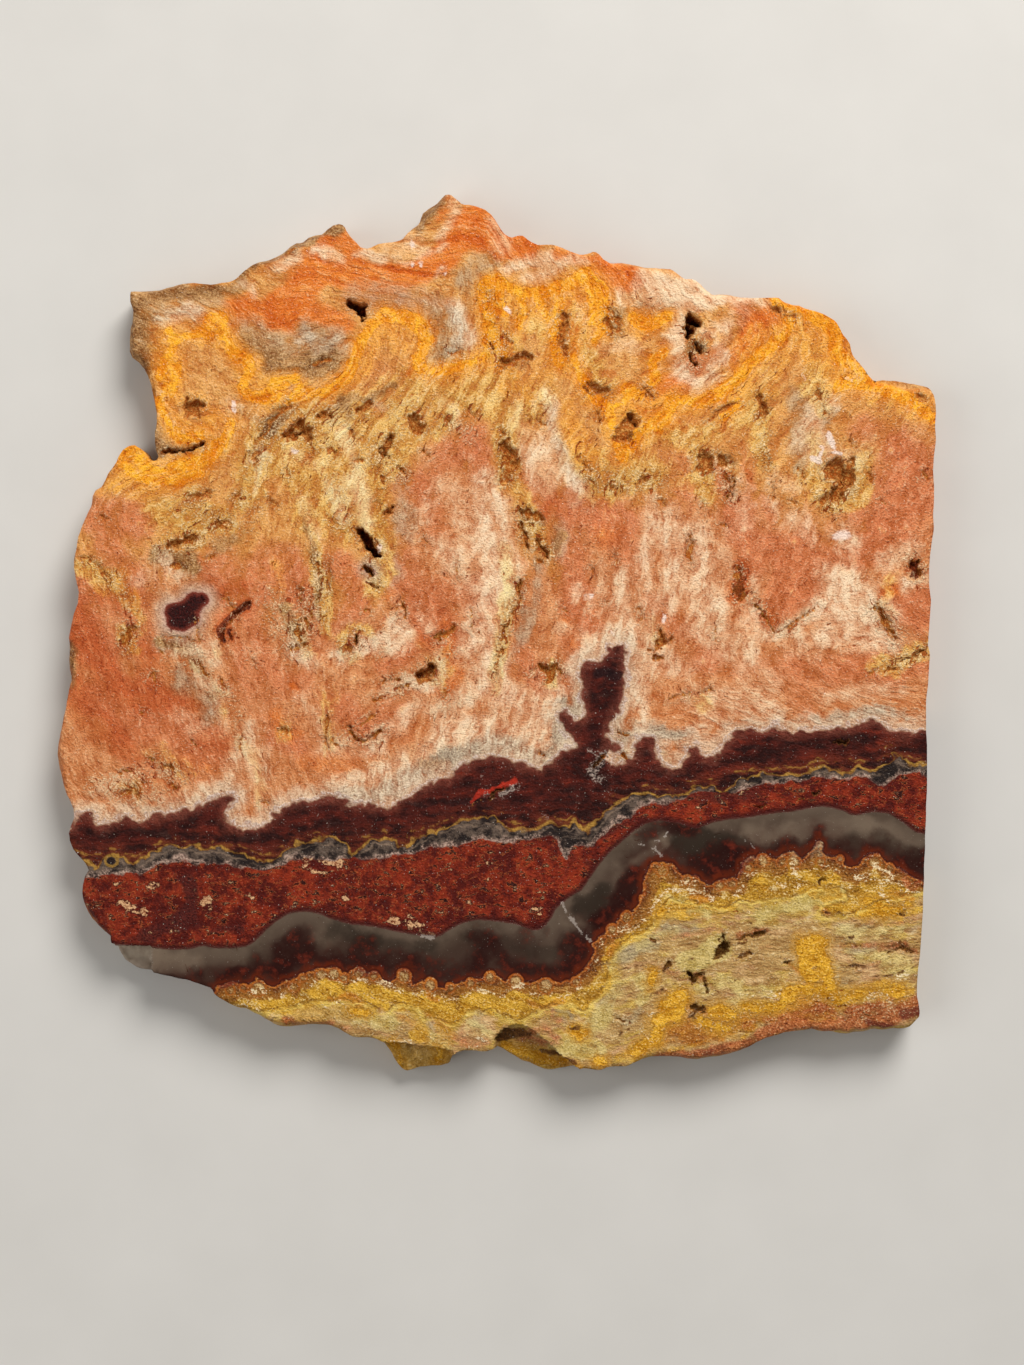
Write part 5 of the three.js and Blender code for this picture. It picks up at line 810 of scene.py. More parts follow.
# ---------------------------------------------------------------- grain: coordinates that run across and along the fibres
def grain_grid():
    step = 5.0
    us = np.arange(30, 965, step)
    vs = np.arange(170, 1100, step)
    gu, gv = np.meshgrid(us, vs)
    p = np.column_stack([gu.ravel(), gv.ravel()])
    starts, ways = [], []
    for entry in FLOW.replace("\n", " ; ").split(";"):
        if not entry.strip():
            continue
        line = points(entry)
        for a, b in zip(line[:-1], line[1:]):
            n = max(2, int(np.hypot(*(b - a)) / 14))
            t = (np.arange(n) + 0.5) / n
            starts.append(a + (b - a) * t[:, None])
            ways.append(np.repeat(((b - a) / np.hypot(*(b - a)))[None], n, axis=0))
    starts, ways = np.vstack(starts), np.vstack(ways)
    way = np.zeros((len(p), 2))
    for s in range(0, len(p), 4000):
        d2 = ((p[s : s + 4000, None] - starts[None]) ** 2).sum(2)
        w = 1 / (d2 + 12.0**2) ** 1.6
        way[s : s + 4000] = (w[..., None] * ways[None]).sum(1)
    way /= np.maximum(np.hypot(*way.T), 1e-9)[:, None]
    rows, cols = gu.shape
    way = way.reshape(rows, cols, 2)

    def fit(gx, gy):
        """The field whose slope comes closest to (gx, gy), found by conjugate gradients."""
        ex = 0.5 * (gx[:, 1:] + gx[:, :-1]) * step
        ey = 0.5 * (gy[1:] + gy[:-1]) * step

        def spread(f):
            out = np.zeros((rows, cols))
            dx, dy = f[:, 1:] - f[:, :-1], f[1:] - f[:-1]
            out[:, 1:] += dx
            out[:, :-1] -= dx
            out[1:] += dy
            out[:-1] -= dy
            return out + 1e-6 * f

        right = np.zeros((rows, cols))
        right[:, 1:] += ex
        right[:, :-1] -= ex
        right[1:] += ey
        right[:-1] -= ey
        f = np.zeros((rows, cols))
        r = right - spread(f)
        d = r.copy()
        rr = (r * r).sum()
        for _ in range(700):
            ad = spread(d)
            alpha = rr / (d * ad).sum()
            f += alpha * d
            r -= alpha * ad
            new = (r * r).sum()
            if new < 1e-4:
                break
            d = r + new / rr * d
            rr = new
        return f

    along = fit(way[..., 0], way[..., 1])
    across = fit(-way[..., 1], way[..., 0])
    return us, vs, step, across * UNIT, along * UNIT


def look_up(p, us, vs, step, grid):
    x = np.clip((p[:, 0] - us[0]) / step, 0, len(us) - 1.001)
    y = np.clip((p[:, 1] - vs[0]) / step, 0, len(vs) - 1.001)
    i, j = x.astype(int), y.astype(int)
    fx, fy = x - i, y - j
    return (
        grid[j, i] * (1 - fx) * (1 - fy) + grid[j, i + 1] * fx * (1 - fy)
        + grid[j + 1, i] * (1 - fx) * fy + grid[j + 1, i + 1] * fx * fy
    )


# ---------------------------------------------------------------- the mesh
def scatter(spacing, low, high):
    """Points of a jittered triangular net with the given spacing in trace units."""
    rows = np.arange(low[1], high[1], spacing * 0.866)
    cols = np.arange(low[0], high[0], spacing)
    u, v = np.meshgrid(cols, rows)
    u = u + (np.arange(len(rows)) % 2 * 0.5 * spacing)[:, None]
    p = np.column_stack([u.ravel(), v.ravel()])
    return p + (rng.random(p.shape) - 0.5) * spacing * 0.5


def cap(ring, inner):
    """Triangles of a closed ring with points inside it. The ring's own points come first, in order."""
    n = len(ring)
    every = np.vstack([ring, inner])
    edges = [(i, (i + 1) % n) for i in range(n)]
    verts, _, faces, origin, _, _ = delaunay_2d_cdt([Vector(map(float, p)) for p in every], edges, [], 1, 1e-4, True)
    flat = np.array([[v[0], v[1]] for v in verts])
    source = np.array([o[0] if o else -1 for o in origin])
    tri = np.array([f for f in faces if len(f) == 3])
    tri = tri[inside(flat[tri].mean(1), ring)]
    return flat, source, tri


def build_slab():
    coarse = 1.0
    ring, _ = resample(OUTLINE, 3.6)
    n = len(ring)
    sawn = is_sawn(ring)
    normal = inward(ring, 3)
    around = np.column_stack([ring * UNIT, np.zeros(n)])
    # every level of the wall, from the show face's rim to the back face's rim
    heights = front_height(ring + normal * 1.6)
    levels = 11
    rings, zs = [], []
    for k in range(levels):
        t = k / (levels - 1)
        z = heights * (1 - t)
        q = around.copy()
        q[:, 2] = z
        rough = 0.5 + 0.5 * noise3(q, 0.55, 5, 4)
        fine = 0.5 + 0.5 * noise3(q, 1.7, 6, 3)
        profile = 1.0 * (1 - smooth(t, 0, 0.12)) + 2.6 * smooth(t, 0.72, 1.0)
        rind = profile + 2.6 * rough * (0.35 + 0.65 * math.sin(math.pi * t)) + 0.9 * fine
        saw = 0.9 * ((t < 0.02) + (t > 0.98)) + 0.35 * fine
        inset = rind * (1 - sawn) + saw * sawn
        rings.append(ring + normal * inset[:, None])
        zs.append(z)
    # points of the show face
    line_pits, back_pits = strokes_of(PITS), strokes_of(BACK_PITS)
    low, high = OUTLINE.min(0), OUTLINE.max(0)
    outer = rings[0]

    def keep(p, ring_now, margin):
        p = p[inside(p, ring_now)]
        return p[near_line(p, np.vstack([ring_now, ring_now[:1]])) > margin]

    medium = keep(scatter(4.1 * coarse, low, high), outer, 2.0)
    fine = keep(scatter(2.75 * coarse, low, high), outer, 1.6)
    finest = keep(scatter(1.75 * coarse, low, high), outer, 1.2)

    def wants(p):
        """0 for the plain net, 1 near fine lines, 2 in and around pockets and steps."""
        _, edge = pit_depth(p, line_pits, 11)
        level = np.zeros(len(p), dtype=int)
        d = np.full(len(p), 99.0)
        for line in (B1, B4, B5, B3):
            d = np.minimum(d, near_line(p, line))
        level[d < 9] = 1
        level[near_line(p, B0) < 5] = 1
        level[hard_strokes(p, AMBER) < 0.5] = 1
        for poly in (LEDGE, CHUNK, FRACTURE):
            level[near_line(p, np.vstack([poly, poly[:1]])) < 4] = 2
        level[edge < 0.45] = 2
        return level

    parts = [medium[wants(medium) == 0], fine[wants(fine) == 1], finest[wants(finest) == 2]]
    inner = np.vstack(parts)
    flat, source, tri = cap(outer, inner)
    # the back face
    back_ring = rings[-1]
    back_inner = keep(scatter(8.5 * coarse, low, high), back_ring, 4.0)
    dense = keep(scatter(3.2 * coarse, low, high), back_ring, 2.0)
    back_inner = np.vstack([back_inner[pit_depth(back_inner, back_pits, 31)[1] > 0.6], dense[pit_depth(dense, back_pits, 31)[1] < 0.5]])
    bflat, bsource, btri = cap(back_ring, back_inner)

    # vertices: the show face, the wall's middle levels, the back face
    depth, edge = pit_depth(flat, line_pits, 11)
    top = front_height(flat)
    rim_z = np.full(len(flat), np.nan)
    for i, s in enumerate(source):
        if 0 <= s < n:
            rim_z[i] = heights[s]
    # the opal above the bands is a little uneven; the clear agate is flat
    open_grain = 1 - 0.7 * smooth(below(flat, B0), -1.0, 0.5)
    open_grain *= 1 - smooth(below(flat, B3), -0.5, 0.3) * (1 - smooth(below(flat, B4), -0.3, 0.8))
    relief = 0.07 * noise2(flat, 0.4, 8, 3) - 0.07 + (0.20 * noise2(flat, 0.085, 9, 3) - 0.12) * open_grain
    z = np.where(np.isnan(rim_z), top - depth + np.where(top > THICK - 0.01, relief * 0.6, relief * 3), rim_z)
    z = np.clip(z, 0.7, THICK)
    front = np.column_stack([flat, z])
    bdepth, bedge = pit_depth(bflat, back_pits, 31)
    on_ring = (bsource >= 0) & (bsource < n)
    room = np.interp(np.arange(len(bflat)), [0, 1], [THICK, THICK])
    bz = np.where(on_ring, 0.0, np.minimum(bdepth, room - 3.0))
    back = np.column_stack([bflat, bz])
    wall = [np.column_stack([rings[k], zs[k]]) for k in range(1, levels - 1)]
    verts = np.vstack([front] + wall + [back])
    at_front = np.full(n, -1)
    at_front[source[(source >= 0) & (source < n)]] = np.flatnonzero((source >= 0) & (source < n))
    at_back = np.full(n, -1)
    at_back[bsource[on_ring]] = np.flatnonzero(on_ring)
    if (at_front < 0).any() or (at_back < 0).any():
        raise SystemExit("a rim point was lost")
    offset = len(front)
    loops = [at_front] + [offset + k * n + np.arange(n) for k in range(levels - 2)]
    boff = offset + (levels - 2) * n
    loops.append(boff + at_back)
    faces = []
    # the outline runs clockwise on the trace, where v points down, so it runs clockwise seen from above too
    for a, b in zip(loops[:-1], loops[1:]):
        c, d = np.roll(a, -1), np.roll(b, -1)
        faces += [np.column_stack([a, c, d]), np.column_stack([a, d, b])]

    def facing(flat_points, tri, up):
        a, b, c = (flat_points[tri[:, k]] for k in range(3))
        area = (b[:, 0] - a[:, 0]) * (c[:, 1] - a[:, 1]) - (b[:, 1] - a[:, 1]) * (c[:, 0] - a[:, 0])
        wrong = (area > 0) if up else (area < 0)  # v points down
        tri = tri.copy()
        tri[wrong] = tri[wrong][:, ::-1]
        return tri

    faces.append(facing(flat, tri, True))
    faces.append(boff + facing(bflat, btri, False))
    faces = np.vstack(faces)
    info = {
        "edge": np.concatenate([edge, np.full((levels - 2) * n, 4.0), bedge]),
        "depth": np.concatenate([depth, np.zeros((levels - 2) * n), bdepth]),
        "kind": np.concatenate([np.zeros(len(front)), np.ones((levels - 2) * n), np.full(len(back), 2.0)]),
    }
    # rind: 1 on the rough wall, fading inwards over the show face where the edge is weathered
    rim_all = near_line(verts[:, :2], np.vstack([OUTLINE, OUTLINE[:1]]))
    lost = np.clip((THICK - front_height(verts[:, :2])) / 1.5, 0, 1)
    rind = np.where(info["kind"] == 1, 1.0, np.where(info["kind"] == 0, lost, 0.0))
    rind *= 1 - is_sawn(verts[:, :2])
    info["rind"] = rind
    info["rim"] = np.minimum(rim_all * UNIT, 4.0)
    return verts, faces, info


def write_vectors(mesh, name, *columns):
    a = mesh.attributes.new(name, "FLOAT_VECTOR", "POINT")
    a.data.foreach_set("vector", np.column_stack(columns).astype(np.float32).ravel())


def make_slab():
    verts, faces, info = build_slab()
    xyz = np.column_stack([(verts[:, 0] - MID[0]) * UNIT, (MID[1] - verts[:, 1]) * UNIT, verts[:, 2]]) / 1000
    mesh = bpy.data.meshes.new("slab")
    mesh.vertices.add(len(xyz))
    mesh.vertices.foreach_set("co", xyz.astype(np.float32).ravel())
    mesh.loops.add(faces.size)
    mesh.loops.foreach_set("vertex_index", faces.astype(np.int32).ravel())
    mesh.polygons.add(len(faces))
    mesh.polygons.foreach_set("loop_start", np.arange(0, faces.size, 3, dtype=np.int32))
    mesh.polygons.foreach_set("loop_total", np.full(len(faces), 3, dtype=np.int32))
    mesh.update(calc_edges=True)
    mesh.validate()
    # the place in the stone: bands lean a little with depth
    p = verts[:, :2] + (THICK - verts[:, 2:3]) * SHEAR[None] * np.where(info["kind"] > 0, 1.0, 0.5)[:, None]
    us, vs, step, across, along = grain_grid()
    # streaks have ragged edges: the place they are looked up at is shaken a little
    shake = np.column_stack([noise2(p, 0.045, 40, 4), noise2(p, 0.045, 41, 4)]) * 9 + np.column_stack([noise2(p, 0.2, 42, 2), noise2(p, 0.2, 43, 2)]) * 2.5
    shake *= (1 - 0.6 * smooth(below(p, B4) / UNIT, -20, 0))[:, None]
    w = p + shake
    w3 = p + shake * 0.35
    write_vectors(mesh, "grain", look_up(p, us, vs, step, across), look_up(p, us, vs, step, along), THICK - verts[:, 2])
    write_vectors(mesh, "band", below(p, B0), below(p, B1), below(p, B2))
    write_vectors(mesh, "bandb", below(p, B3), below(p, B4), below(p, B5))
    write_vectors(mesh, "fielda", soft_strokes(w, CREAM), soft_strokes(w, CORAL), soft_strokes(w, GREY))
    write_vectors(mesh, "fieldb", soft_strokes(w, GOLD), soft_strokes(w, ORANGE), soft_strokes(w, BROWN))
    write_vectors(mesh, "lines", hard_strokes(w3, AMBER + BEADS), hard_strokes(p, MAROON), hard_strokes(w3, BLOCKS))
    write_vectors(mesh, "fieldc", soft_strokes(w, PALE), soft_strokes(w, RUST), soft_strokes(w, DARK))
    write_vectors(mesh, "fieldd", soft_strokes(w, CLEAR), soft_strokes(p, PALE_SPOTS_AND_GLINTS), np.clip(below(p, HIGH), -20, 20))
    write_vectors(mesh, "fielde", soft_strokes(w, SUNNY), soft_strokes(w, SMOKE), soft_strokes(p, CRUMBLY))
    write_vectors(mesh, "pit", info["edge"], info["depth"], info["rind"])
    slab = bpy.data.objects.new("slab", mesh)
    bpy.context.scene.collection.objects.link(slab)
    smooth_flags = np.ones(len(faces), dtype=bool)
    mesh.polygons.foreach_set("use_smooth", smooth_flags)
    print("slab", len(verts), "points", len(mesh.polygons), "triangles")
    return slab


# ---------------------------------------------------------------- shader shorthand
def colour(text):
    c = [int(text[i : i + 2], 16) / 255 for i in (1, 3, 5)]
    return tuple(x / 12.92 if x <= 0.04045 else ((x + 0.055) / 1.055) ** 2.4 for x in c) + (1.0,)


class Value:
    """A shader output with arithmetic."""

    def __init__(self, net, socket):
        self.net, self.socket = net, socket

    def __add__(self, other):
        return self.net.math("ADD", self, other)

    __radd__ = __add__

    def __sub__(self, other):
        return self.net.math("SUBTRACT", self, other)

    def __rsub__(self, other):
        return self.net.math("SUBTRACT", other, self)

    def __mul__(self, other):
        return self.net.math("MULTIPLY", self, other)

    __rmul__ = __mul__


class Net:
    def __init__(self, material):
        material.use_nodes = True
        self.tree = material.node_tree
        self.tree.nodes.clear()

    def node(self, kind, **settings):
        n = self.tree.nodes.new(kind)
        for key, value in settings.items():
            setattr(n, key, value)
        return n

    def put(self, socket, value):
        if isinstance(value, Value):
            self.tree.links.new(value.socket, socket)
        else:
            socket.default_value = value

    def math(self, operation, a, b=None, clamp=False):
        n = self.node("ShaderNodeMath", operation=operation, use_clamp=clamp)
        self.put(n.inputs[0], a)
        if b is not None:
            self.put(n.inputs[1], b)
        return Value(self, n.outputs[0])

    def most(self, a, b):
        return self.math("MAXIMUM", a, b)

    def least(self, a, b):
        return self.math("MINIMUM", a, b)

    def size(self, a):
        return self.math("ABSOLUTE", a)

    def smooth(self, value, low, high):
        n = self.node("ShaderNodeMapRange", interpolation_type="SMOOTHSTEP")
        self.put(n.inputs[0], value)
        n.inputs[1].default_value, n.inputs[2].default_value = low, high
        n.inputs[3].default_value, n.inputs[4].default_value = 0.0, 1.0
        return Value(self, n.outputs[0])

    def mix(self, share, a, b, blend="MIX"):
        n = self.node("ShaderNodeMix", data_type="RGBA", blend_type=blend)
        self.put(n.inputs[0], share)
        self.put(n.inputs[6], a)
        self.put(n.inputs[7], b)
        return Value(self, n.outputs[2])

    def stretch(self, vector, x, y, z, turn=0.0):
        n = self.node("ShaderNodeMapping")
        self.put(n.inputs[0], vector)
        n.inputs[2].default_value = (0.0, 0.0, turn)
        n.inputs[3].default_value = (x, y, z)
        return Value(self, n.outputs[0])

    def noise(self, vector, scale, detail=3.0, rough=0.55, twist=0.0):
        n = self.node("ShaderNodeTexNoise")
        self.put(n.inputs["Vector"], vector)
        n.inputs["Scale"].default_value = scale
        n.inputs["Detail"].default_value = detail
        n.inputs["Roughness"].default_value = rough
        n.inputs["Distortion"].default_value = twist
        return Value(self, n.outputs[0])

    def wander(self, vector, scale, reach, detail=3.0):
        """The vector moved about by up to half of reach."""
        n = self.node("ShaderNodeTexNoise")
        self.put(n.inputs["Vector"], vector)
        n.inputs["Scale"].default_value = scale
        n.inputs["Detail"].default_value = detail
        away = self.node("ShaderNodeVectorMath", operation="SUBTRACT")
        self.tree.links.new(n.outputs[1], away.inputs[0])
        away.inputs[1].default_value = (0.5, 0.5, 0.5)
        far = self.node("ShaderNodeVectorMath", operation="SCALE")
        self.tree.links.new(away.outputs[0], far.inputs[0])
        far.inputs["Scale"].default_value = reach
        return far

    def moved(self, vector, far):
        n = self.node("ShaderNodeVectorMath", operation="ADD")
        self.put(n.inputs[0], vector)
        self.tree.links.new(far.outputs[0], n.inputs[1])
        return Value(self, n.outputs[0])

    def cells(self, vector, scale):
        n = self.node("ShaderNodeTexVoronoi")
        self.put(n.inputs["Vector"], vector)
        n.inputs["Scale"].default_value = scale
        return Value(self, n.outputs["Distance"])

    def attribute(self, name):
        n = self.node("ShaderNodeAttribute", attribute_name=name)
        split = self.node("ShaderNodeSeparateXYZ")
        self.tree.links.new(n.outputs["Vector"], split.inputs[0])
        return Value(self, n.outputs["Vector"]), [Value(self, split.outputs[k]) for k in range(3)]


def opal_material():
    m = bpy.data.materials.new("banded_opal")
    g = Net(m)
    place = g.node("ShaderNodeTexCoord")
    at = g.stretch(Value(g, place.outputs["Object"]), 1000.0, 1000.0, 1000.0)  # mm
    grain_at, _ = g.attribute("grain")
    _, (b0, b1, b2) = g.attribute("band")
    _, (b3, b4, b5) = g.attribute("bandb")
    _, (cream, coral, grey) = g.attribute("fielda")
    _, (gold, orange, brown) = g.attribute("fieldb")
    _, (amber, maroon, block) = g.attribute("lines")
    _, (pale, rust, dark) = g.attribute("fieldc")
    _, (clear, pale_spot_and_glint, high) = g.attribute("fieldd")
    _, (sunny, smoke, crumbly) = g.attribute("fielde")
    _, (edge, depth, rind) = g.attribute("pit")

    away = g.wander(at, 0.45, 1.6, 2.0)
    along = g.moved(grain_at, away)
    around = g.moved(at, away)
    broad = g.noise(at, 0.16, 3.0) - 0.5
    lumps = g.noise(at, 0.62, 4.0, 0.6) - 0.5
    sugar = g.noise(at, 3.2, 2.0, 0.72) - 0.5
    smear = g.noise(g.stretch(along, 0.62, 0.19, 0.3), 1.0, 4.0, 0.64) - 0.5
    fibre = g.noise(g.stretch(along, 2.3, 0.7, 0.8), 1.0, 3.0, 0.68) - 0.5
    streak = g.noise(g.stretch(around, 0.28, 1.9, 1.9, -0.10), 1.0, 3.0, 0.68) - 0.5
    lace = g.noise(g.stretch(along, 2.0, 0.66, 1.0), 1.0, 3.0, 0.62) - 0.5
    fine = sugar * 0.95 + fibre * 0.2
    near = g.smooth(edge, 1.4, 0.1)

    # ---- the upper opal: gold above, salmon below, with coral, cream, orange, grey and brown parts
    tone = smear * 1.0 + lumps * 0.5 + fibre * 0.3
    low = g.mix(g.smooth(tone, -0.26, 0.28), colour("#B46430"), colour("#DE9A66"))
    top = g.mix(g.smooth(tone, -0.26, 0.28), colour("#BC7230"), colour("#E8AC60"))
    c = g.mix(g.smooth(high + smear * 18.0 + lumps * 6.0, -3.0, 3.5), top, low)
    c = g.mix(g.smooth(coral * 0.85 + smear * 1.5 + lumps * 1.0 + fibre * 0.5, 0.05, 1.15) * 0.9, c, g.mix(g.smooth(tone, -0.26, 0.28), colour("#AC4C22"), colour("#D67C4E")))
    c = g.mix(g.smooth(orange * 0.95 + smear * 0.8 + lumps * 0.9, 0.15, 0.9) * 0.95, c, g.mix(g.smooth(tone, -0.25, 0.27), colour("#C45208"), colour("#E6842E")))
    c = g.mix(g.smooth(grey * 0.9 + smear * 1.3 + lumps * 1.3, 0.15, 1.2) * 0.75, c, g.mix(g.smooth(tone + sugar * 0.4, -0.2, 0.22), colour("#74583E"), colour("#B49C80")))
    golden = g.mix(g.smooth(tone + fine * 0.3, -0.26, 0.26), colour("#B06E22"), colour("#E6AE50"))
    golden = g.mix(g.smooth(tone + gold * 0.25 + fine * 0.3, 0.16, 0.54) * 0.7, golden, colour("#F2D490"))
    c = g.mix(g.smooth(gold * 0.95 + smear * 1.9 + lumps * 1.1 + fibre * 0.6, 0.25, 1.0) * 0.9, c, golden)
    c = g.mix(g.smooth(brown + lumps * 1.0 + smear * 0.8, 0.25, 0.95), c, g.mix(g.smooth(tone + sugar * 0.5, -0.2, 0.25), colour("#6C3E16"), colour("#BC8C56")))
    white = g.smooth(cream + smear * 0.9 + lumps * 0.6, 0.08, 1.2)
    pallor = g.mix(g.smooth(gold, 0.2, 0.9) * 0.8, colour("#ECC9A2"), colour("#F0D48C"))
    c = g.mix(white * 0.85, c, g.mix(g.smooth(tone + sugar * 0.2, -0.26, 0.22), colour("#D2966C"), pallor))
    c = g.mix(g.smooth(cream * 0.8 + smear * 2.0 + fibre * 0.8, 0.5, 1.25) * 0.6, c, g.mix(g.smooth(gold, 0.2, 0.9) * 0.8, colour("#F6DFBE"), colour("#F6E4A4")))
    c = g.mix(g.smooth(smoke + smear * 1.2 + lumps * 0.8, 0.2, 1.2) * 0.75, c, g.mix(g.smooth(tone + sugar * 0.3 + fibre * 0.4, -0.2, 0.25), colour("#917E68"), colour("#DCCDB4")))
    c = g.mix(g.smooth(g.least(grey, smoke) + lumps * 0.8 + fibre * 0.4, 0.2, 0.8) * g.smooth(b0, -8.0, -5.0) * 0.75, c, g.mix(g.smooth(fine, -0.2, 0.2), colour("#7E6C58"), colour("#AA9880")))
    # bright yellow-orange veins
    c = g.mix(g.smooth(sunny + smear * 0.8 + lumps * 1.3, 0.15, 1.0) * 0.85, c, g.mix(g.smooth(tone, -0.24, 0.26), colour("#CB7519"), colour("#F1AB44")))
    vein = amber - 0.25 + lumps * 2.0 + smear * 1.4 + fine * 0.5
    c = g.mix(g.smooth(vein, 1.8, 0.0) * 0.55, c, g.mix(g.smooth(tone, -0.2, 0.2), colour("#CC7418"), colour("#EAA040")))
    c = g.mix(g.smooth(g.size(vein - 0.15), 0.28, 0.04) * g.smooth(lumps - fibre, -0.02, 0.12) * 0.4, c, colour("#A8560A"))
    c = g.mix(g.smooth(vein, 0.22, -0.14) * 0.92, c, g.mix(g.smooth(tone + lumps * 0.3 + sugar * 0.2, -0.25, 0.24), colour("#D87800"), colour("#FAB228")))
    # thin threads along the grain, pale and dark
    upper = 1.0 - g.smooth(b0, -0.4, 0.2)
    pale_thread = g.smooth(g.size(smear - 0.045), 0.026, 0.004) * g.smooth(lumps, -0.16, 0.06)
    dark_thread = g.smooth(g.size(smear + 0.055), 0.020, 0.003) * g.smooth(lumps + fibre * 0.3, 0.10, -0.06)
    c = g.mix(pale_thread * (0.08 + g.smooth(broad + cream * 0.4 + gold * 0.2, 0.0, 0.35) * 0.25), c, colour("#F6DDB4"))
    c = g.mix(dark_thread * (0.1 + near * 0.4), c, g.mix(1.0, c, colour("#A8683C"), "MULTIPLY"))
    # a fine grain, with pale crumbs and darker places between them
    c = g.mix(g.smooth(fibre + lumps * 0.5, -0.03, -0.26) * 0.5, c, g.mix(1.0, c, colour("#CC9068"), "MULTIPLY"))
    c = g.mix(g.smooth(fibre + lumps * 0.5, 0.05, 0.28) * 0.2, c, colour("#F8DAB0"))
    c = g.mix(g.smooth(fine, -0.02, -0.25) * 0.85, c, g.mix(1.0, c, colour("#BC8A62"), "MULTIPLY"))
    c = g.mix(g.smooth(fine, 0.05, 0.28) * (0.42 + cream * 0.1), c, colour("#FFE2BC"))
    # white spots, partly painted glints (near-white highlights), and dark red streaks
    c = g.mix(g.smooth(pale_spot_and_glint + fine * 0.7, 0.35, 0.75) * upper * 0.85, c, colour("#EFD6C6"))
    # a soft warm darkening over the rust strokes, broadest on the left of the upper opal
    c = g.mix(g.smooth(rust + smear * 0.5, 0.05, 0.42) * upper * 0.9, c, g.mix(1.0, c, colour("#EBC6A6"), "MULTIPLY"))
    c = g.mix(g.smooth(rust + lumps * 0.6 + lace * 1.0 + sugar * 0.5, 0.62, 0.86) * upper * 0.9, c, g.mix(g.smooth(fine + lumps, -0.2, 0.2), colour("#42100A"), colour("#7A2A10")))
    # the maroon spot with its pale rim
    spot = maroon + lumps * 0.8 + sugar * 0.3
    c = g.mix(g.smooth(spot, 2.2, 0.5) * 0.6, c, g.mix(g.smooth(fine + lumps, -0.2, 0.2), colour("#A08064"), colour("#D0B49C")))
    c = g.mix(g.smooth(spot, 0.8, 0.2) * 0.6, c, colour("#C09A88"))
    c = g.mix(g.smooth(spot, 0.25, -0.12), c, g.mix(g.smooth(spot, 0.1, -0.8), colour("#762E20"), g.mix(g.smooth(sugar, -0.1, 0.2), colour("#240806"), colour("#46120E"))))

    # ---- the maroon band, with a crust of pale crystals on its lobed upper edge
    scallop = g.noise(g.stretch(at, 0.5, 0.5, 0.5), 1.0, 1.2, 0.45) - 0.5
    lobes = g.size(scallop)
    e0 = b0 - 0.25 + lobes * 3.0 + lumps * 1.6 + sugar * 0.4
    c = g.mix(g.smooth(e0 + tone * 2.5, -3.0, -0.4) * 0.6, c, g.mix(g.smooth(fine + tone, -0.2, 0.2), colour("#B0967A"), colour("#E2CDB0")))
    c = g.mix(g.smooth(g.size(e0 + 0.3), 0.42, 0.1) * g.smooth(lumps + sugar, -0.22, 0.1) * 0.75, c, g.mix(g.smooth(sugar, -0.1, 0.2), colour("#A5847A"), colour("#E0CFC2")))
    flow = g.noise(g.stretch(around, 0.16, 0.75, 0.75, -0.12), 1.0, 4.0, 0.64) - 0.5
    wine = g.mix(g.smooth(flow + lumps * 0.6, -0.16, 0.18), colour("#240704"), colour("#50180E"))
    wine = g.mix(g.smooth(flow + fine * 0.25 + lumps * 0.3, 0.08, 0.24) * 0.6, wine, colour("#762410"))
    wine = g.mix(g.smooth(flow - lumps * 0.4, -0.1, -0.24) * 0.6, wine, colour("#40241E"))
    wine = g.mix(g.smooth(sugar + lumps * 0.4, 0.16, 0.30) * 0.4, wine, colour("#8C5A50"))
    wine = g.mix(g.smooth(rust + lumps, 0.4, 0.8), wine, colour("#A22A18"))
    wine = g.mix(g.smooth(e0 + tone * 2.2, 1.6, 0.1) * 0.7, wine, g.mix(g.smooth(lumps + sugar * 0.5, -0.2, 0.2), colour("#5A2418"), colour("#844636")))
    wine = g.mix(g.smooth(dark + lumps * 0.6, 0.3, 0.9) * 0.8, wine, colour("#1A0B0D"))
    wine = g.mix(g.smooth(pale_spot_and_glint + lumps * 1.4 + sugar * 1.6, 0.35, 0.7), wine, g.mix(g.smooth(sugar, -0.1, 0.15), colour("#241512"), colour("#A08C80")))
    c = g.mix(g.smooth(e0, -0.3, 0.3), c, wine)

    # ---- the thin gold line and the grey and mauve lines under it
    e1 = b1 - 0.25 + lobes * 2.6 + lumps * 0.25 + sugar * 0.06
    c = g.mix(g.smooth(e1, -3.0, -0.3) * g.smooth(flow + lumps * 0.4, -0.14, 0.16) * 0.7, c, colour("#6A2A16"))
    c = g.mix(g.smooth(e1, -1.3, -0.1) * g.smooth(flow + lumps * 0.6, 0.0, 0.18) * 0.45, c, colour("#7A5020"))
    c = g.mix(g.smooth(g.size(e1 + 0.95), 0.28, 0.06) * g.smooth(flow + tone * 0.5, 0.0, 0.14) * 0.7, c, colour("#9A7030"))
    under = g.mix(g.smooth(lumps * 1.3 + flow + sugar * 0.3, -0.14, 0.16), colour("#211816"), colour("#5E4E43"))
    under = g.mix(g.smooth(g.size(e1 - 0.75), 0.26, 0.06) * g.smooth(flow, -0.15, 0.15) * 0.6, under, colour("#8C7460"))
    c = g.mix(g.smooth(e1, 0.06, 0.34), c, under)
    thin = g.smooth(tone + flow, -0.2, 0.25) * 0.22
    c = g.mix(g.smooth(g.size(e1) - thin, 0.2, -0.1) * 0.85, c, g.mix(g.smooth(tone + sugar * 0.5, -0.2, 0.2), colour("#6E4A1C"), colour("#B0853A")))
    loop = g.smooth(g.size(b1), 3.0, 2.4)
    c = g.mix(g.smooth(g.size(amber + 0.1), 0.32, 0.08) * loop * 0.9, c, colour("#8E6A2C"))
    c = g.mix(g.smooth(amber + lumps * 0.3, -0.2, -0.4) * loop, c, colour("#241816"))
    e2 = b2 + scallop * 1.6 + lumps * 1.6 + sugar * 0.3
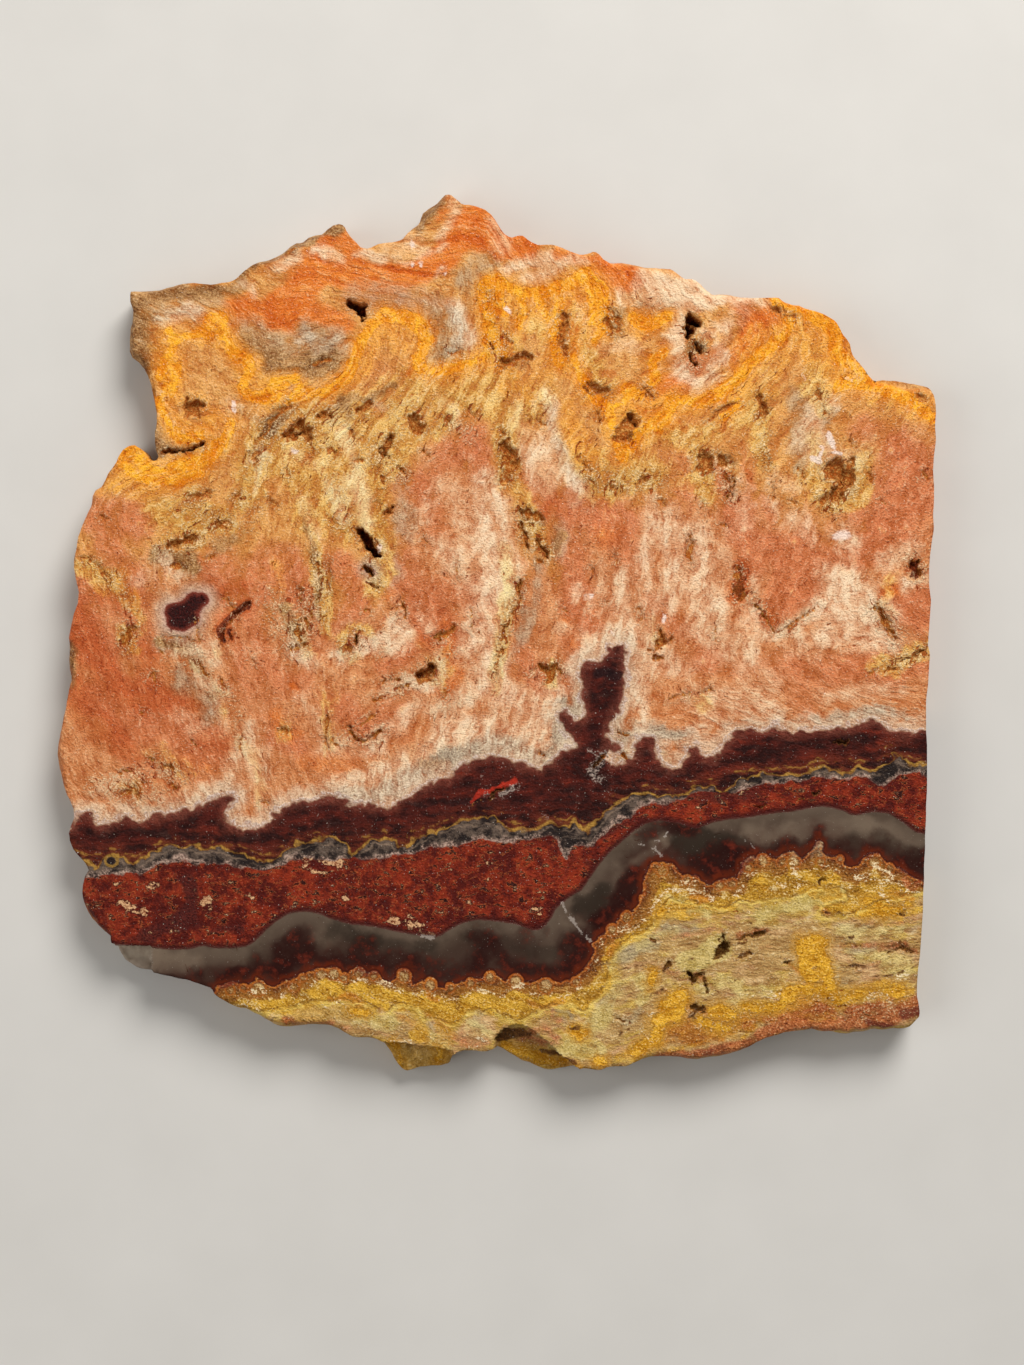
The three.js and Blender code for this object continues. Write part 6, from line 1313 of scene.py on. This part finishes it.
    c = g.mix(g.smooth(e2 + lumps * 1.5, -0.8, -0.1) * g.smooth(e1, 0.4, 0.9) * g.smooth(flow + sugar * 0.6, -0.3, 0.1) * 0.85, c, g.mix(g.smooth(lumps + sugar * 0.9, -0.15, 0.2), colour("#6A4A40"), colour("#BFA08E")))

    # ---- the red jasper
    jasper = g.mix(g.smooth(lumps * 1.3 + broad * 0.8 + fine * 0.4, -0.2, 0.22), colour("#4C1008"), colour("#862A12"))
    jasper = g.mix(g.smooth(fine * 0.9 + lumps * 0.8, 0.10, 0.32) * 0.8, jasper, colour("#A84C26"))
    jasper = g.mix(g.smooth(fine + lumps * 0.5, -0.08, -0.26) * 0.8, jasper, colour("#360906"))
    holes = g.noise(g.stretch(around, 0.55, 1.35, 1.0, -0.12), 1.0, 3.0, 0.66) - 0.5
    open_jasper = holes + lumps * 0.5 + sugar * 0.15
    jasper = g.mix(g.smooth(open_jasper, 0.06, 0.095) * 0.5, jasper, colour("#BC6638"))
    # painted shade: tiny holes in the jasper painted near black
    bites = g.smooth(open_jasper, 0.095, 0.12)
    jasper = g.mix(bites, jasper, g.mix(g.smooth(sugar, -0.05, 0.2), colour("#160302"), colour("#4A1208")))
    jasper = g.mix(g.smooth(sugar - holes * 0.6, 0.24, 0.32) * 0.7, jasper, colour("#D39A68"))
    jasper = g.mix(g.smooth(dark + lumps * 1.3 + sugar * 0.4, 0.3, 0.8) * 0.88, jasper, g.mix(g.smooth(sugar, -0.2, 0.2), colour("#2A0A0A"), colour("#592019")))
    chips = pale_spot_and_glint + lumps * 2.6 + holes * 2.0
    jasper = g.mix(g.smooth(chips, 0.3, 0.5) * 0.8, jasper, colour("#3A0E08"))
    jasper = g.mix(g.smooth(chips + sugar, 0.5, 0.85), jasper, g.mix(g.smooth(fine + holes, -0.15, 0.15), colour("#7E4020"), colour("#D2A478")))
    c = g.mix(g.smooth(e2, -0.12, 0.15), c, jasper)

    # ---- the clear grey agate
    e3 = b3 + lumps * 0.4 + sugar * 0.08
    c = g.mix(g.smooth(e3, -0.9, -0.1) * 0.85, c, colour("#3A0C08"))
    agate = g.mix(g.smooth(e3, 0.2, 3.4), colour("#57493D"), colour("#3C2C24"))
    agate = g.mix(g.smooth(broad + lumps * 0.4, -0.1, 0.2) * 0.5, agate, colour("#35281F"))
    agate = g.mix(g.smooth(clear + lumps * 0.5 + broad * 0.8, 0.25, 1.1) * 0.7, agate, colour("#736353"))
    agate = g.mix(g.smooth(grey + lumps * 0.6 + broad * 0.6, 0.2, 0.9) * 0.85, agate, colour("#29211A"))
    # painted light: the thin clear ledge at the lower left is painted paler, as light showing through it
    end = g.node("ShaderNodeSeparateXYZ")
    g.put(end.inputs[0], at)
    agate = g.mix(g.smooth(Value(g, end.outputs[0]), -50.4, -50.9), agate, g.mix(g.smooth(lumps, -0.2, 0.2), colour("#938271"), colour("#B5A693")))
    e4 = b4 - 0.2 + lobes * 2.0 + lumps * 0.5 + sugar * 0.12
    agate = g.mix(g.smooth(e4 + lumps * 5.0, -4.0, 0.2) * 0.75, agate, colour("#34140F"))
    agate = g.mix(g.smooth(dark + lumps * 0.9 + broad * 0.7, 0.1, 1.1) * 0.9, agate, g.mix(g.smooth(lumps + sugar * 0.15, 0.0, 0.25), colour("#230A08"), colour("#5A2014")))
    agate = g.mix(g.smooth(g.size(e3 - 0.05), 0.3, 0.08) * 0.8, agate, colour("#46120C"))
    agate = g.mix(g.smooth(e4 + lumps * 1.5, -1.4, -0.1) * 0.8, agate, colour("#5A200C"))
    agate = g.mix(g.smooth(pale_spot_and_glint + sugar * 1.6, 0.45, 0.7) * 0.6, agate, colour("#A0948A"))
    c = g.mix(g.smooth(e3, -0.08, 0.08), c, agate)

    # ---- the orange rim with its round beads, the crystals under it, and the yellow opal
    beads = amber + lumps * 0.5 + sugar * 0.1
    e4 = g.most(e4, g.least(beads * -1.0, b4 + 2.0))
    crystal = lace * 0.9 + sugar * 0.6 + lumps * 0.5
    rimc = g.mix(g.smooth(e4 + lumps * 1.2, 0.0, 1.6), colour("#5A200A"), colour("#925C1E"))
    rimc = g.mix(g.smooth(crystal, -0.04, -0.22) * 0.7, rimc, colour("#46200A"))
    rimc = g.mix(g.smooth(crystal, 0.06, 0.22) * g.smooth(e4, 0.4, 1.2) * 0.7, rimc, colour("#C08C48"))
    rimc = g.mix(g.smooth(beads, -0.25, -0.8) * 0.75, rimc, g.mix(g.smooth(sugar + lace, -0.15, 0.15), colour("#8A5A24"), colour("#CDAA72")))
    rimc = g.mix(g.smooth(g.size(beads + 0.14), 0.24, 0.04) * 0.65, rimc, colour("#A85C1C"))
    rimc = g.mix(g.smooth(g.size(e4 - 0.26), 0.26, 0.04) * 0.85, rimc, g.mix(g.smooth(lumps + sugar, -0.2, 0.2), colour("#94461A"), colour("#BC7228")))
    fringe = e4 + lumps * 3.0 + broad * 1.5 - 0.4
    ochre = g.mix(g.smooth(tone + fine * 0.6, -0.22, 0.24), colour("#946414"), colour("#CF9E34"))
    ochre = g.mix(g.smooth(crystal + lumps * 0.4, 0.04, 0.22) * 0.7, ochre, g.mix(g.smooth(fine, -0.15, 0.15), colour("#CDA258"), colour("#EBD49C")))
    ochre = g.mix(g.smooth(crystal, -0.10, -0.26) * 0.7, ochre, colour("#704610"))
    y = g.mix(g.smooth(fringe + gold * 1.6, 1.5, 2.4), rimc, ochre)
    e5 = b5 - 0.1 + lobes * 2.0 + lumps * 0.8 + sugar * 0.2
    stripe = streak + lumps * 0.35
    tan = g.mix(g.smooth(stripe, -0.2, 0.2), colour("#936A38"), colour("#C6A064"))
    tan = g.mix(g.smooth(stripe + sugar * 0.3, 0.06, 0.28) * 0.7, tan, colour("#E2C898"))
    tan = g.mix(g.smooth(smear + broad * 1.2 + fibre * 0.3, 0.0, 0.2) * 0.7, tan, g.mix(g.smooth(stripe, -0.2, 0.2), colour("#A88030"), colour("#D6B454")))
    tan = g.mix(g.smooth(broad * 1.2 - smear + fibre * 0.3, 0.04, 0.22) * 0.6, tan, g.mix(g.smooth(stripe, -0.2, 0.2), colour("#A06A44"), colour("#CC9C72")))
    tan = g.mix(g.smooth(stripe - lumps * 0.5, -0.10, -0.26) * 0.75, tan, colour("#744A20"))
    tan = g.mix(g.smooth(e5 + lumps * 4.0, 2.2, 0.3) * 0.8, tan, g.mix(g.smooth(tone + streak * 0.5, -0.2, 0.2), colour("#B48C2C"), colour("#E2C060")))
    y = g.mix(g.smooth(e5, -0.3, 0.3), y, tan)
    y = g.mix(g.smooth(coral + lumps + streak * 0.8, 0.3, 0.9) * 0.75, y, g.mix(g.smooth(stripe, -0.2, 0.2), colour("#A8784E"), colour("#D8B07C")))
    y = g.mix(g.smooth(grey + lumps + streak * 0.6, 0.3, 0.9) * 0.7, y, g.mix(g.smooth(stripe, -0.2, 0.2), colour("#85785E"), colour("#B9AA88")))
    y = g.mix(g.smooth(pale + lumps * 1.0 + streak * 0.6, 0.3, 0.9) * 0.8, y, g.mix(g.smooth(lumps + fine * 0.6, -0.2, 0.2), colour("#A99044"), colour("#D9C27C")))
    y = g.mix(g.smooth(gold + lumps * 1.6 + crystal * 0.8, 0.35, 0.9) * 0.88, y, g.mix(g.smooth(tone + fine * 0.9, -0.22, 0.25), colour("#A8720E"), colour("#DCAA38")))
    y = g.mix(g.smooth(orange + lumps * 1.3 + fine * 0.4, 0.3, 0.85) * 0.9, y, g.mix(g.smooth(tone + fine * 0.8, -0.22, 0.25), colour("#8E4C10"), colour("#CA8426")))
    y = g.mix(g.smooth(rust + lumps * 1.4 + streak * 0.8, 0.3, 0.95) * 0.9, y, g.mix(g.smooth(fine + lumps * 0.7, -0.2, 0.2), colour("#7A3012"), colour("#BC6C3C")))
    y = g.mix(g.smooth(dark + lumps * 1.2, 0.4, 0.9) * 0.8, y, colour("#64231C"))
    y = g.mix(g.smooth(sunny + lumps, 0.3, 0.8) * 0.85, y, g.mix(g.smooth(lumps + fine * 0.6, -0.2, 0.2), colour("#9A7028"), colour("#D0A456")))
    blocks = block + lumps * 2.6 + fine * 0.6
    y = g.mix(g.smooth(blocks, 1.4, 0.1) * 0.6, y, colour("#C48E30"))
    y = g.mix(g.smooth(g.size(blocks - 0.1), 0.3, 0.05) * 0.5, y, colour("#94620F"))
    y = g.mix(g.smooth(blocks, 0.1, -0.25), y, g.mix(g.smooth(tone + fine * 0.9, -0.22, 0.25), colour("#AE720A"), colour("#E6AE34")))
    y = g.mix(g.smooth(g.size(e5), 0.24, 0.05) * g.smooth(lumps + scallop, -0.15, 0.1) * 0.85, y, colour("#835A18"))
    y = g.mix(g.smooth(g.size(e5 - 0.5), 0.24, 0.05) * g.smooth(lumps - scallop, -0.15, 0.1) * 0.6, y, colour("#E3C466"))
    y = g.mix(g.smooth(fine, 0.04, 0.28) * 0.4, y, colour("#F7E4B0"))
    y = g.mix(g.smooth(fine, -0.04, -0.28) * 0.5, y, g.mix(1.0, y, colour("#8E6434"), "MULTIPLY"))
    y = g.mix(g.smooth(cream * 0.8 + lumps * 0.8 + lace * 1.8 + sugar * 1.6, 0.62, 0.95) * 0.9, y, g.mix(g.smooth(fine + lace, -0.15, 0.25), colour("#BC8C50"), colour("#F0DCB4")))
    y = g.mix(g.smooth(brown + lumps * 0.8 + sugar * 0.5, 0.4, 0.75) * 0.95, y, g.mix(g.smooth(fine, -0.15, 0.15), colour("#3E220A"), colour("#76481C")))
    c = g.mix(g.smooth(e4, -0.12, 0.12), c, y)
    c = g.mix(g.smooth(g.size(e4 + 0.10), 0.22, 0.05) * 0.7, c, colour("#35110A"))

    # ---- open pockets and fine pores
    soft_part = 1.0 - g.smooth(b0, -0.5, 0.3)
    yellow_part = g.smooth(b4, 0.8, 1.6)
    zone = (0.10 + near * 0.45 + g.smooth(gold, 0.2, 0.9) * 0.15 + crumbly * 0.75) * soft_part + yellow_part * (0.15 + near * 0.3 + crumbly * 0.5)
    gap = g.smooth(lace + zone * 0.12, 0.20, 0.235)
    crumb = g.smooth(zone * 0.10 + sugar + lumps * 0.4 - lace * 0.3, 0.10, 0.22) * g.smooth(zone, 0.1, 0.7)
    c = g.mix(crumb * 0.5, c, colour("#FBDCAE"))
    c = g.mix(gap * 0.9, c, g.mix(1.0, c, g.mix(g.smooth(sugar, -0.2, 0.2), colour("#9A501C"), colour("#D68E4A")), "MULTIPLY"))
    rag = edge - lace * 3.0 - sugar * 0.8
    into = g.smooth(rag, 0.06, -0.10) * (1.0 - g.smooth(edge, 0.3, 0.9)) * g.smooth(depth, 0.01, 0.25)
    # pocket walls painted amber brown: partly their own colour, partly painted warm light and shade inside them
    c = g.mix(into * 0.95, c, g.mix(g.smooth(fine + lumps * 0.6, -0.16, 0.22), colour("#9A4A10"), colour("#CE7C30")))
    c = g.mix(into * g.smooth(rust, 0.5, 0.8) * upper * 0.9, c, g.mix(g.smooth(fine, -0.15, 0.15), colour("#3E0C04"), colour("#74240C")))
    # painted shade: the deeper the pocket, the darker brown it is painted
    deep = g.smooth(depth + sugar * 1.6 + lace * 2.4, 1.1, 2.2)
    c = g.mix(into * deep * 0.9, c, g.mix(g.smooth(sugar + lumps, -0.15, 0.25), colour("#702C0A"), colour("#A05018")))
    c = g.mix(into * g.smooth(sugar + fine * 0.6, 0.04, 0.15) * g.smooth(depth, 3.4, 2.2) * g.smooth(rust, 0.7, 0.3) * 0.65, c, colour("#DDA458"))
    # painted shade: the deepest pockets painted near black
    c = g.mix(g.smooth(depth + sugar * 1.6 + lace * 2.0, 2.7, 4.0) * 0.8, c, colour("#3E1403"))
    # painted shade: pockets below the upper opal painted near black, olive brown in the yellow opal
    c = g.mix(into * g.smooth(b0, 0.0, 0.6) * 0.85, c, g.mix(yellow_part, colour("#1E110C"), g.mix(g.smooth(sugar, -0.2, 0.2), colour("#2E1C08"), colour("#6E5020"))))
    # painted glints: tiny near-white highlights painted into the colour, fainter on the glassy agate, and small darker
    # specks where the same noise is low
    painted_glint_and_speck = g.noise(at, 3.9, 2.0, 0.6)
    glassy = g.smooth(b3, 0.0, 0.4) * (1.0 - g.smooth(b4, -0.4, 0.4))
    c = g.mix(g.smooth(painted_glint_and_speck, 0.69, 0.75) * (0.65 - glassy * 0.5), c, colour("#FFF3E2"))
    c = g.mix(g.smooth(painted_glint_and_speck, 0.30, 0.23) * 0.5, c, g.mix(1.0, c, colour("#96603C"), "MULTIPLY"))

    # ---- weathered rind on the broken edges
    weather = g.smooth(rind + lumps * 0.9, 0.35, 0.9) * (1.0 - g.smooth(b3, -0.5, 0.5))
    c = g.mix(weather * 0.5, c, g.mix(g.smooth(lumps + fine, -0.25, 0.25), colour("#74441C"), colour("#CE9E66")))

    shader = g.node("ShaderNodeBsdfPrincipled")
    g.put(shader.inputs["Base Color"], c)
    gloss = 0.46 - glassy * 0.30 + into * 0.2 + weather * 0.2 + sugar * 0.25
    g.put(shader.inputs["Roughness"], gloss)
    shader.inputs["Specular IOR Level"].default_value = 0.10
    height = sugar * 1.15 + fibre * 0.6 - lace * 0.5 + lumps * 1.0 + smear * 0.9 - gap * 0.9 + crumb * 0.3
    height = height * (1.0 - glassy * 0.94)
    bump = g.node("ShaderNodeBump")
    bump.inputs["Strength"].default_value = 1.0
    bump.inputs["Distance"].default_value = 0.00030
    g.put(bump.inputs["Height"], height)
    g.tree.links.new(bump.outputs[0], shader.inputs["Normal"])
    out = g.node("ShaderNodeOutputMaterial")
    g.tree.links.new(shader.outputs[0], out.inputs[0])
    return m


def floor_material():
    m = bpy.data.materials.new("floor")
    g = Net(m)
    place = g.node("ShaderNodeTexCoord")
    spots = g.noise(Value(g, place.outputs["Object"]), 60.0, 3.0)
    shader = g.node("ShaderNodeBsdfPrincipled")
    g.put(shader.inputs["Base Color"], g.mix(spots, colour("#BDBAB5"), colour("#C6C3BE")))
    shader.inputs["Roughness"].default_value = 0.8
    out = g.node("ShaderNodeOutputMaterial")
    g.tree.links.new(shader.outputs[0], out.inputs[0])
    return m


# ---------------------------------------------------------------- the scene
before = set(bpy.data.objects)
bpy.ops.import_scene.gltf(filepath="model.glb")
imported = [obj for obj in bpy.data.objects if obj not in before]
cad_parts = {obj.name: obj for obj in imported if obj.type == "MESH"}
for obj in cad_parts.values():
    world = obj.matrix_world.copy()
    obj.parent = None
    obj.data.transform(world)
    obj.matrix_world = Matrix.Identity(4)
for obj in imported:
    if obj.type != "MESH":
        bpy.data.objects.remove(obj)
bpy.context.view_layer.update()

slab = make_slab()
slab.data.materials.append(opal_material())
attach(slab, "root")
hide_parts("opal_slab")

floor_mesh = bpy.data.meshes.new("floor")
side = 3.0
floor_mesh.from_pydata([(-side, -side, 0), (side, -side, 0), (side, side, 0), (-side, side, 0)], [], [(0, 1, 2, 3)])
floor = bpy.data.objects.new("floor", floor_mesh)
bpy.context.scene.collection.objects.link(floor)
floor.data.materials.append(floor_material())

# The slab fills the same part of the picture as in the photo: the camera looks straight down.
camera_data = bpy.data.cameras.new("camera")
camera_data.lens = 70
camera_data.sensor_width = 36
camera_data.clip_start = 0.01
camera = bpy.data.objects.new("camera", camera_data)
bpy.context.scene.collection.objects.link(camera)
wide = 1365 * UNIT / 1000
camera.location = ((512 - MID[0]) * UNIT / 1000, (MID[1] - 682.5) * UNIT / 1000, THICK / 1000 + wide * 70 / 36)
camera.rotation_euler = (0, 0, 0)
bpy.context.scene.camera = camera


def panel(name, where, size, power, tint=(1, 1, 1)):
    light = bpy.data.lights.new(name, "AREA")
    light.shape = "DISK"
    light.size = size
    light.energy = power
    light.color = tint
    o = bpy.data.objects.new(name, light)
    bpy.context.scene.collection.objects.link(o)
    o.location = where
    o.rotation_euler = (Vector((0, 0, 0)) - Vector(where)).to_track_quat("-Z", "Y").to_euler()
    return o


panel("key", (0.30, 0.62, 0.60), 0.5, 10.5, (1.0, 0.985, 0.96))
panel("fill", (-0.7, -0.1, 0.55), 0.8, 3.0, (1.0, 0.985, 0.96))

world = bpy.data.worlds.new("soft")
bpy.context.scene.world = world
world.use_nodes = True
world.node_tree.nodes["Background"].inputs[0].default_value = (0.98, 0.975, 0.96, 1.0)
world.node_tree.nodes["Background"].inputs[1].default_value = 0.30
bpy.context.scene.view_settings.view_transform = "Standard"
